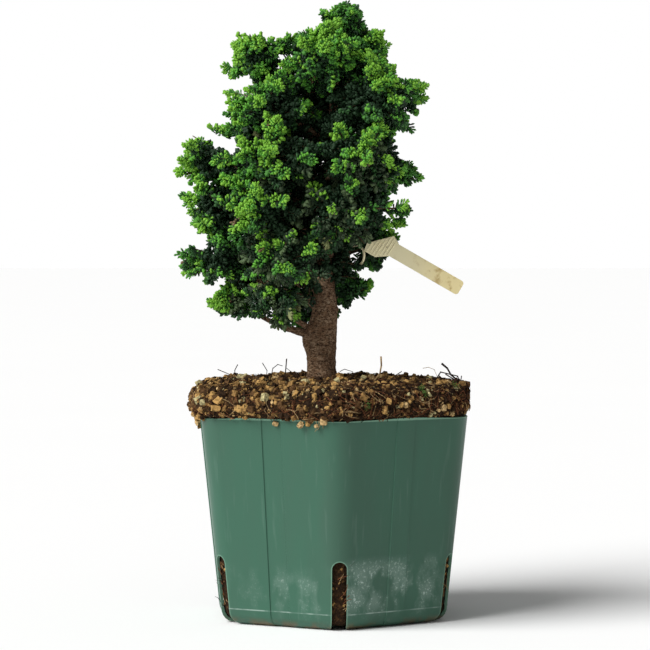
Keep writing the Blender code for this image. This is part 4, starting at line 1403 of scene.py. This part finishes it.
# Sprays deeper than this are painted dark green, as the shade inside the crown.
DARK_DEPTH = 0.010
DEAD_SHARE = 0.004
YOUNG_COLOURS = ((LIME, 0.34), (BRIGHT, 0.12), (MID, -0.12), (DEEP, -0.38))  # each with its least youth
OLD_FRONT = (195, 322)  # directions and heights of the old growth at the front
OLD_HEIGHTS = (0.120, 0.200)
OLD_REACH = 0.040
OLD_GROWTH = ((SAGE, 0.17), (DULL_SAGE, 0.36), (DEEP, 0.22), (DARK, 0.22), (OLIVE, 0.02), (BROWN, 0.01))
OLD_LIMIT = 0.36  # the youth up to which growth there turns old
OLD_LENGTH = 1.35
OLD_DROOP = Vector((0, -0.2, -0.8))
HOLLOW = Vector((0.0055, -0.0150, 0.2080))  # a hollow between two boughs, whose sprays are painted dark as its shade, and its size
HOLLOW_SIZE = 0.0112
PATCH_SCALE = 85.0
YOUNG_SPOTS = (
    (-0.0371, 0.1648, 0.0050),  # x, z and radius of the young tufts among the old growth at the front
    (-0.0254, 0.1536, 0.0040),
    (-0.0188, 0.1465, 0.0034),
    (-0.0079, 0.1498, 0.0025),
    (-0.0092, 0.1390, 0.0030),
    (-0.0113, 0.1265, 0.0046),
    (-0.0480, 0.1290, 0.0050),
    (-0.0600, 0.1700, 0.0060),
    (0.0271, 0.1627, 0.0040),
    (0.0125, 0.1736, 0.0026),
    (-0.0079, 0.2107, 0.0038),
    (-0.0163, 0.2015, 0.0040),
)
NOTCHES = (
    (-0.0380, 0.2205, 0.0036),  # x, z and radius of the places where sky shows in or beside the crown
    (-0.0340, 0.2208, 0.0026),
    (-0.0440, 0.2208, 0.0030),
    (-0.0345, 0.2462, 0.0040),
    (-0.0300, 0.2500, 0.0034),
    (-0.0245, 0.2472, 0.0052),
    (-0.0190, 0.2475, 0.0044),
    (-0.0450, 0.2342, 0.0038),
    (-0.0420, 0.2430, 0.0030),
    (-0.0140, 0.2462, 0.0040),
    (-0.0078, 0.2472, 0.0036),
    (-0.0025, 0.2546, 0.0034),
    (-0.0184, 0.2336, 0.0022),
    (-0.0428, 0.1960, 0.0030),
    (-0.0468, 0.1970, 0.0026),
    (-0.0505, 0.2000, 0.0026),
    (-0.0550, 0.2046, 0.0036),
    (-0.0620, 0.2010, 0.0042),
    (-0.0640, 0.1815, 0.0020),
    (-0.0505, 0.1794, 0.0014),
    (-0.0632, 0.1665, 0.0034),
    (-0.0600, 0.1590, 0.0024),
    (-0.0630, 0.1560, 0.0044),
    (-0.0580, 0.1563, 0.0030),
    (-0.0540, 0.1548, 0.0024),
    (-0.0484, 0.1523, 0.0018),
    (-0.0360, 0.1886, 0.0016),
    (-0.0575, 0.1375, 0.0038),
    (-0.0510, 0.1350, 0.0030),
    (-0.0405, 0.1420, 0.0020),
    (-0.0320, 0.1315, 0.0018),
    (-0.0246, 0.1273, 0.0022),
    (-0.0505, 0.1225, 0.0036),
    (-0.0545, 0.1305, 0.0024),
    (-0.0390, 0.1198, 0.0040),
    (-0.0440, 0.1202, 0.0056),
    (-0.0355, 0.1185, 0.0055),
    (-0.0295, 0.1205, 0.0042),
    (-0.0235, 0.1175, 0.0030),
    (0.0178, 0.2482, 0.0040),
    (0.0275, 0.2350, 0.0036),
    (0.0310, 0.2310, 0.0040),
    (0.0315, 0.2265, 0.0044),
    (0.0418, 0.2122, 0.0034),
    (0.0402, 0.2085, 0.0032),
    (0.0365, 0.2042, 0.0032),
    (0.0280, 0.1972, 0.0034),
    (0.0345, 0.1938, 0.0042),
    (0.0380, 0.1785, 0.0030),
    (0.0305, 0.1755, 0.0036),
    (0.0245, 0.1740, 0.0020),
    (0.0350, 0.1745, 0.0032),
    (0.0240, 0.1670, 0.0026),
    (0.0250, 0.1465, 0.0030),
    (0.0150, 0.1422, 0.0030),
    (0.0095, 0.1500, 0.0032),
    (0.0215, 0.1365, 0.0036),
    (0.0195, 0.1300, 0.0056),
    (0.0115, 0.1292, 0.0040),
)
OUTER_TUFTS = (
    (-0.0398, 0.2090),  # x and z of the ends of single long twigs
    (-0.0388, 0.2060),
    (-0.0366, 0.2030),
    (-0.0372, 0.2275),
    (0.0360, 0.2195),
    (-0.0590, 0.1870),
    (-0.0578, 0.1722),
    (0.0250, 0.1640),
    (-0.0592, 0.1470),
    (-0.0430, 0.1405),
    (0.0080, 0.2500),
    (0.0245, 0.2010),
    (0.0300, 0.1810),
)
INNER_TUFTS = (
    (-0.0133, 0.2003),
    (-0.0075, 0.1990),
    (-0.0035, 0.1857),
    (-0.0089, 0.2154),
    (-0.0134, 0.2211),
    (0.0119, 0.2416),
    (-0.0165, 0.2145),
    (-0.0105, 0.2185),
)
TUFT_REACH = 0.0060  # how far past its mass's own edge an outer tuft may go
TUFTS = (
    (OUTER_TUFTS, 10, 0.35, TUFT_REACH),  # ends, sprays on a twig, where the first stands, and that reach
    (INNER_TUFTS, 12, 0.2, None),
)
TUFT_DEPTH = 0.6
TUFT_START = 0.3


def finger_shape(bm, length, half_width, sides, young, matrix):
    """A blunt flat finger with a narrow root. The faces of its tip, or all if young, get finish number 1."""
    made = bmesh.ops.create_cone(
        bm,
        cap_ends=True,
        cap_tris=True,
        segments=sides,
        radius1=half_width * FINGER_ROOT,
        radius2=half_width,
        depth=length * FINGER_SHOULDER,
    )["verts"]
    bmesh.ops.translate(bm, vec=(0, 0, length * FINGER_SHOULDER / 2), verts=made)
    middles = [vertex for vertex in made if vertex.co.xy.length < 1e-7]
    root, tip = sorted(middles, key=lambda vertex: vertex.co.z)
    tip.co.z = length
    for vertex in made if young else [tip]:
        for face in vertex.link_faces:
            face.material_index = 1
    bmesh.ops.scale(bm, vec=(1, FINGER_FLATNESS, 1), verts=made)
    bmesh.ops.transform(bm, matrix=matrix, verts=made)
    bmesh.ops.delete(bm, geom=[root], context="VERTS")


def spray_shape(seed, fingers, sides, half_width, angles):
    """A flat frond along X, in the XY plane, of middling length: fingers stand by turns on its two sides."""
    rng = random.Random(seed)
    bm = bmesh.new()
    length = sum(SPRAY_LENGTHS) / 2
    for k in range(fingers):
        share = k / (fingers - 1)
        side = (-1) ** k if share < 1 else 0
        swing = side * part_way(angles, share) + rng.uniform(-FINGER_WANDER, FINGER_WANDER)
        start = length * part_way(FINGER_STARTS, share)
        reach = length * part_way(FINGER_LENGTHS, share)
        way = Matrix.Rotation(math.radians(swing), 3, "Z")
        way = way @ Matrix.Rotation(math.radians(rng.uniform(-FINGER_TILT, FINGER_TILT)), 3, "Y")
        turned = (way @ Vector((1, 0, 0))).to_track_quat("Z", "Y").to_matrix()
        turned = turned @ Matrix.Rotation(rng.uniform(-FINGER_ROLL, FINGER_ROLL) + math.pi / 2, 3, "Z")
        place = Matrix.Translation((start, 0, 0)) @ turned.to_4x4()
        finger_shape(bm, reach * rng.uniform(*FINGER_GROWTH), half_width, sides, share > 0.5, place)
    return arrays_of(bm)


def in_box(spot):
    """True where growth keeps to the box of the CAD model."""
    low, high = cad_box
    return all(low[k] - CROWN_MARGIN[k] < spot[k] < high[k] + CROWN_MARGIN[k] for k in range(3))


def in_any(spot, circles):
    """True where a spot lies in one of the circles, as they are seen from the front."""
    return any((spot.x - x) ** 2 + (spot.z - z) ** 2 < size**2 for x, z, size in circles)


def near_tag(spot):
    """True where a spray would cover the tag or stand in it."""
    local = tag_place.inverted() @ spot
    _, upper, end = TAG_BLADE
    along = TAG_START < local.x < end + TAG_MARGIN
    beside = -TAG_MARGIN < local.z < upper + TAG_MARGIN
    return along and beside and local.y < TAG_DEPTH


def swollen_reach(mass, aim):
    """The mass's reach, with more in the directions where its neighbours are, so that no gap is left."""
    axis, _ = on_trunk(CROWN_MIDDLE)
    away = mass.centre - axis
    away.z *= CROWN_FLATNESS
    out = max(aim.dot(away.normalized()), 0.0)
    return mass.reach(aim) * (1 + FILL[mass.tier] * (1 - out**2))


def tuft_room(mass, aim, further=0.0):
    """How far growth goes from the mass's centre along an aim."""
    rooms = [swollen_reach(mass, aim) + further]
    for across, limit in mass.borders:
        if aim.dot(across) > 1e-6:
            rooms.append(limit / aim.dot(across))
    return min(rooms)


def even_directions(count, rng, wander):
    """Directions spread evenly all round by the golden angle."""
    first = rng.uniform(0, math.tau)
    found = []
    for k in range(count):
        height = 1 - 2 * (k + 0.5) / count
        ring = math.sqrt(1 - height**2)
        turn = first + GOLDEN_ANGLE * k
        aim = Vector((ring * math.cos(turn), ring * math.sin(turn), height))
        found.append((aim + jolt(rng, wander)).normalized())
    return found


def grow_twig(mass, rng, start, end, count, first, further):
    """A curved twig with sprays along it, as rows for the list of what has grown."""
    aim = (end - start).normalized()
    aside = aim.orthogonal().normalized()
    aside.rotate(Matrix.Rotation(rng.uniform(0, math.tau), 3, aim))
    bend = start.lerp(end, 0.5) + aside * TWIG_BEND * (end - start).length
    line = curve_points(start, bend, end, 5)
    for near, far in zip(line, line[1:]):
        if in_any(far, NOTCHES):
            break
        lay_stick(near, far, TWIG_RADIUS)
    turn = rng.uniform(0, 360)
    for k in range(count):
        share = k / (count - 1)
        place = part_way((first, 1), share) * (len(line) - 1.001)
        root = line[int(place)].lerp(line[int(place) + 1], place % 1)
        along = (line[int(place) + 1] - line[int(place)]).normalized()
        lean = part_way(SPRAY_ANGLES, share) + rng.uniform(-ANGLE_WANDER, ANGLE_WANDER)
        way = Matrix.Rotation(math.radians(lean), 3, along.orthogonal()) @ along
        way.rotate(Matrix.Rotation(math.radians(turn + math.degrees(GOLDEN_ANGLE) * k), 3, along))
        grow_spray(mass, root, way, rng, further)


def grow_mass(mass, rng):
    """Twigs all round the stem's end, with sprays along them, within the mass's room."""
    lay_stick(mass.stem_start, mass.centre, STEM_RADIUS)
    for aim in even_directions(TWIGS[mass.tier], rng, TWIG_WANDER):
        further = LONG_TWIG if rng.random() < LONG_TWIGS else 0.0
        retreat = TWIG_RETREAT * rng.random() ** 2 if not further else 0.0
        room = tuft_room(mass, aim, further) * (1 - retreat)
        end = mass.centre + aim * max(room - SPRAY_LENGTHS[0] * TWIG_SHORT, room * LEAST_TWIG)
        if not in_any(end, NOTCHES):
            grow_twig(mass, rng, mass.centre, end, SPRAYS_ON_TWIG, FIRST_SPRAY, further)


def grow_inside(mass, rng):
    """Short twigs along a mass's limb, which close the gaps between the masses with sprays painted dark as
    shade.
    """
    limb = [point for point, _ in mass.limb]
    for k in range(LIMB_TWIGS if limb else 0):
        start = limb[int(len(limb) * (LIMB_TWIG_START + LIMB_TWIG_SPAN * k / LIMB_TWIGS))]
        aim = Vector([rng.gauss(0, 1) for _ in range(3)]).normalized()
        if start.z > INNER_FOOT:
            end = start + aim * rng.uniform(*INNER_TWIG)
            grow_twig(mass, rng, start, end, INNER_SPRAYS, LIMB_FIRST_SPRAY, None)


def grow_tufts(rng):
    """Single twigs: long ones out of the crown, and ones that close its inside."""
    for spots, count, first, further in TUFTS:
        for x, z in spots:
            mass = min(masses, key=lambda one: (one.centre.x - x) ** 2 + (one.centre.z - z) ** 2)
            end = Vector((x, mass.centre.y * TUFT_DEPTH, z))
            grow_twig(mass, rng, mass.centre.lerp(end, TUFT_START), end, count, first, further)


def grow_on_trunk(rng):
    """Short twigs up the trunk, all round it, with sprays painted dark as shade."""
    for k in range(int((TRUNK[-1][0] - INNER_FOOT) / INNER_STEP)):
        start, _ = on_trunk(INNER_FOOT + INNER_STEP * k)
        turn = GOLDEN_ANGLE * k
        aim = Vector((math.cos(turn), math.sin(turn), rng.uniform(0.0, TRUNK_TWIG_RISE))).normalized()
        mass = min(masses, key=lambda one: abs(one.centre.z - start.z))
        grow_twig(mass, rng, start, start + aim * TRUNK_TWIG, INNER_SPRAYS, TRUNK_FIRST_SPRAY, None)


def grow_spray(mass, root, way, rng, further):
    """One spray on a twig, left out where it would stand at the tag. Inner sprays have no further reach."""
    length = rng.uniform(*SPRAY_LENGTHS)
    tip = root + way * length
    if further is not None:
        away = tip - mass.centre
        room = tuft_room(mass, away.normalized(), further)
        if away.length > room:
            tip = mass.centre + away * (room / away.length)
            root = tip - way * length * SPRAY_FOOT
    if in_box(tip) and not any(near_tag(spot) or in_any(spot, NOTCHES) for spot in (root, tip)):
        up = Matrix.Rotation(rng.uniform(0, math.pi), 3, way) @ way.orthogonal().normalized()
        grown.append((mass, root, tip, way, up, length, further is None))


def depths_in_crown(spots):
    """How deep each spot lies under the outside of the crown."""
    deepest = np.full(len(spots), -1.0)
    axis = np.array(on_trunk(CROWN_MIDDLE)[0])
    for mass in masses:
        offsets = spots - np.array(mass.centre)
        distances = np.linalg.norm(offsets, axis=1)
        shares = (offsets @ np.array(mass.axes).T) / np.array(mass.sizes)
        reaches = distances / np.linalg.norm(shares, axis=1)
        away = (np.array(mass.centre) - axis) * (1, 1, CROWN_FLATNESS)
        outs = np.clip(offsets @ (away / np.linalg.norm(away)) / distances, 0, 1)
        reaches = reaches * (1 + FILL[mass.tier] * (1 - outs**2))
        deepest = np.maximum(deepest, reaches - distances)
    return deepest


def pick(rng, shares):
    """One of the things that come with a share each."""
    return rng.choices([thing for thing, _ in shares], [share for _, share in shares])[0]


def growth_colour(mass, spot, way, depth, rng):
    """The colour number of a spray: young and bright outside and on top, brighter as painted light where it
    points up, painted dark as shade inside, old at the front.
    """
    in_spot = spot.y < 0 and depth < FINE_DEPTH and in_any(spot, YOUNG_SPOTS)
    # Deep sprays, and those in the shaded hollow, are painted dark green as shade.
    if depth > DARK_DEPTH or ((spot - HOLLOW).length < HOLLOW_SIZE and not in_spot):
        return DARK
    axis, _ = on_trunk(spot.z)
    away = (spot - axis).length
    patch = noise.noise(spot * PATCH_SCALE) + 0.4 * noise.noise(spot * PATCH_SCALE * 2.7)
    # This youth score also holds painted light: pointing up adds to it, and depth takes from it as painted
    # shade.
    young = YOUTH[mass.tier] + UPWARD_LIGHT * way.z + PATCH_YOUTH * patch + OUTER_YOUTH * (away - USUAL_AWAY)
    young += rng.gauss(*CHANCE_YOUTH) - DEPTH_SHADE_AND_AGE * max(depth - SKIN, 0) + (SPOT_YOUTH if in_spot else 0.0)
    turn = math.degrees(math.atan2(spot.y - axis.y, spot.x - axis.x)) % 360
    in_front = OLD_FRONT[0] < turn < OLD_FRONT[1] and OLD_HEIGHTS[0] < spot.z < OLD_HEIGHTS[1]
    if in_front and away < OLD_REACH and young < OLD_LIMIT:
        return pick(rng, OLD_GROWTH)
    if rng.random() < DEAD_SHARE:
        return BROWN
    for colour, least in YOUNG_COLOURS:
        if young > least:
            return colour
    return DARK


def fan_number(depth, colour, rng):
    """The number of the shape for a spray: a broad one inside, a long one where old, else a fine one."""
    counts = [fan[0] for fan in FANS]
    if depth > FINE_DEPTH:
        return counts[0] + counts[1] + rng.randrange(counts[2])
    if colour in (SAGE, OLIVE):
        return counts[0] + rng.randrange(counts[1])
    return rng.randrange(counts[0])


def lay_stick(start, end, radius):
    """One straight length of a twig, for the joined twigs."""
    if (end - start).length > 1e-5:
        twig_rows.append((0, stick_frame(start, end, radius), start, 0))


def spray_frame(way, up, length):
    """The frame of a spray: along its way, with its fan across up, scaled to its length."""
    side = up.cross(way).normalized()
    return Matrix((way, side, way.cross(side))).transposed() * (length * 2 / sum(SPRAY_LENGTHS))


def spray_finishes(shape, tips):
    """The colour number of each face of the sprays: their own at the tips, and behind them a darker one that
    is partly painted shade.
    """
    tips = np.array(tips)[:, None]
    return np.where(shape[2][None] == 1, tips, np.array(BASE_SHADE_OF_TIP)[tips])


def green_material(name, colour):
    """A plain green, with the faint waxy gloss of scale leaves."""
    return plain_material(name, 0.62, colour, 0.3)


greens = [green_material(name, colour) for name, colour in GREENS]
spray_shapes = [spray_shape(10 * kind + k, *fan[1:]) for kind, fan in enumerate(FANS) for k in range(fan[0])]
twig_rows = []  # lengths of twig, as rows for joining
grown = []  # sprays: mass, root, tip, way, side up, length, and whether it is an inner one
for seed, mass in enumerate(masses, 1):
    grow_mass(mass, random.Random(seed))
    grow_inside(mass, random.Random(seed + 100))
grow_on_trunk(random.Random(200))
grow_tufts(random.Random(201))
colour_rng = random.Random(5)
tiers = {mass.tier: [] for mass in masses}
tips = np.array([row[2] for row in grown])
for (mass, root, tip, way, up, length, is_inner), depth in zip(grown, depths_in_crown(tips)):
    if is_inner:
        depth = max(depth, INNER_DEPTH)
    elif depth > SPARSE_DEPTH and colour_rng.random() > SPARSE_SHARE:
        continue
    colour = growth_colour(mass, tip, way, depth, colour_rng)
    if colour in (SAGE, OLIVE):
        way = (way + OLD_DROOP).normalized()
        length *= OLD_LENGTH
    shape = fan_number(depth, colour, colour_rng)
    tiers[mass.tier].append((shape, spray_frame(way, up, length), root, colour))
for tier, sprays in tiers.items():
    name = f"leaves_{tier}"
    leaves = new_piece(name, joined(name, spray_shapes, sprays, spray_finishes), greens)
    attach(leaves, "root")
    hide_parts(*[f"foliage_{mass.name}" for mass in masses if mass.tier == tier])
twig_bark = speckled("twig bark", TWIG_BROWN, 0.9, 600.0, 0.5)
twigs = new_piece("twigs", joined("twigs", [stick_shape(3, 0.6)], twig_rows), [twig_bark])
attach(twigs, "root")
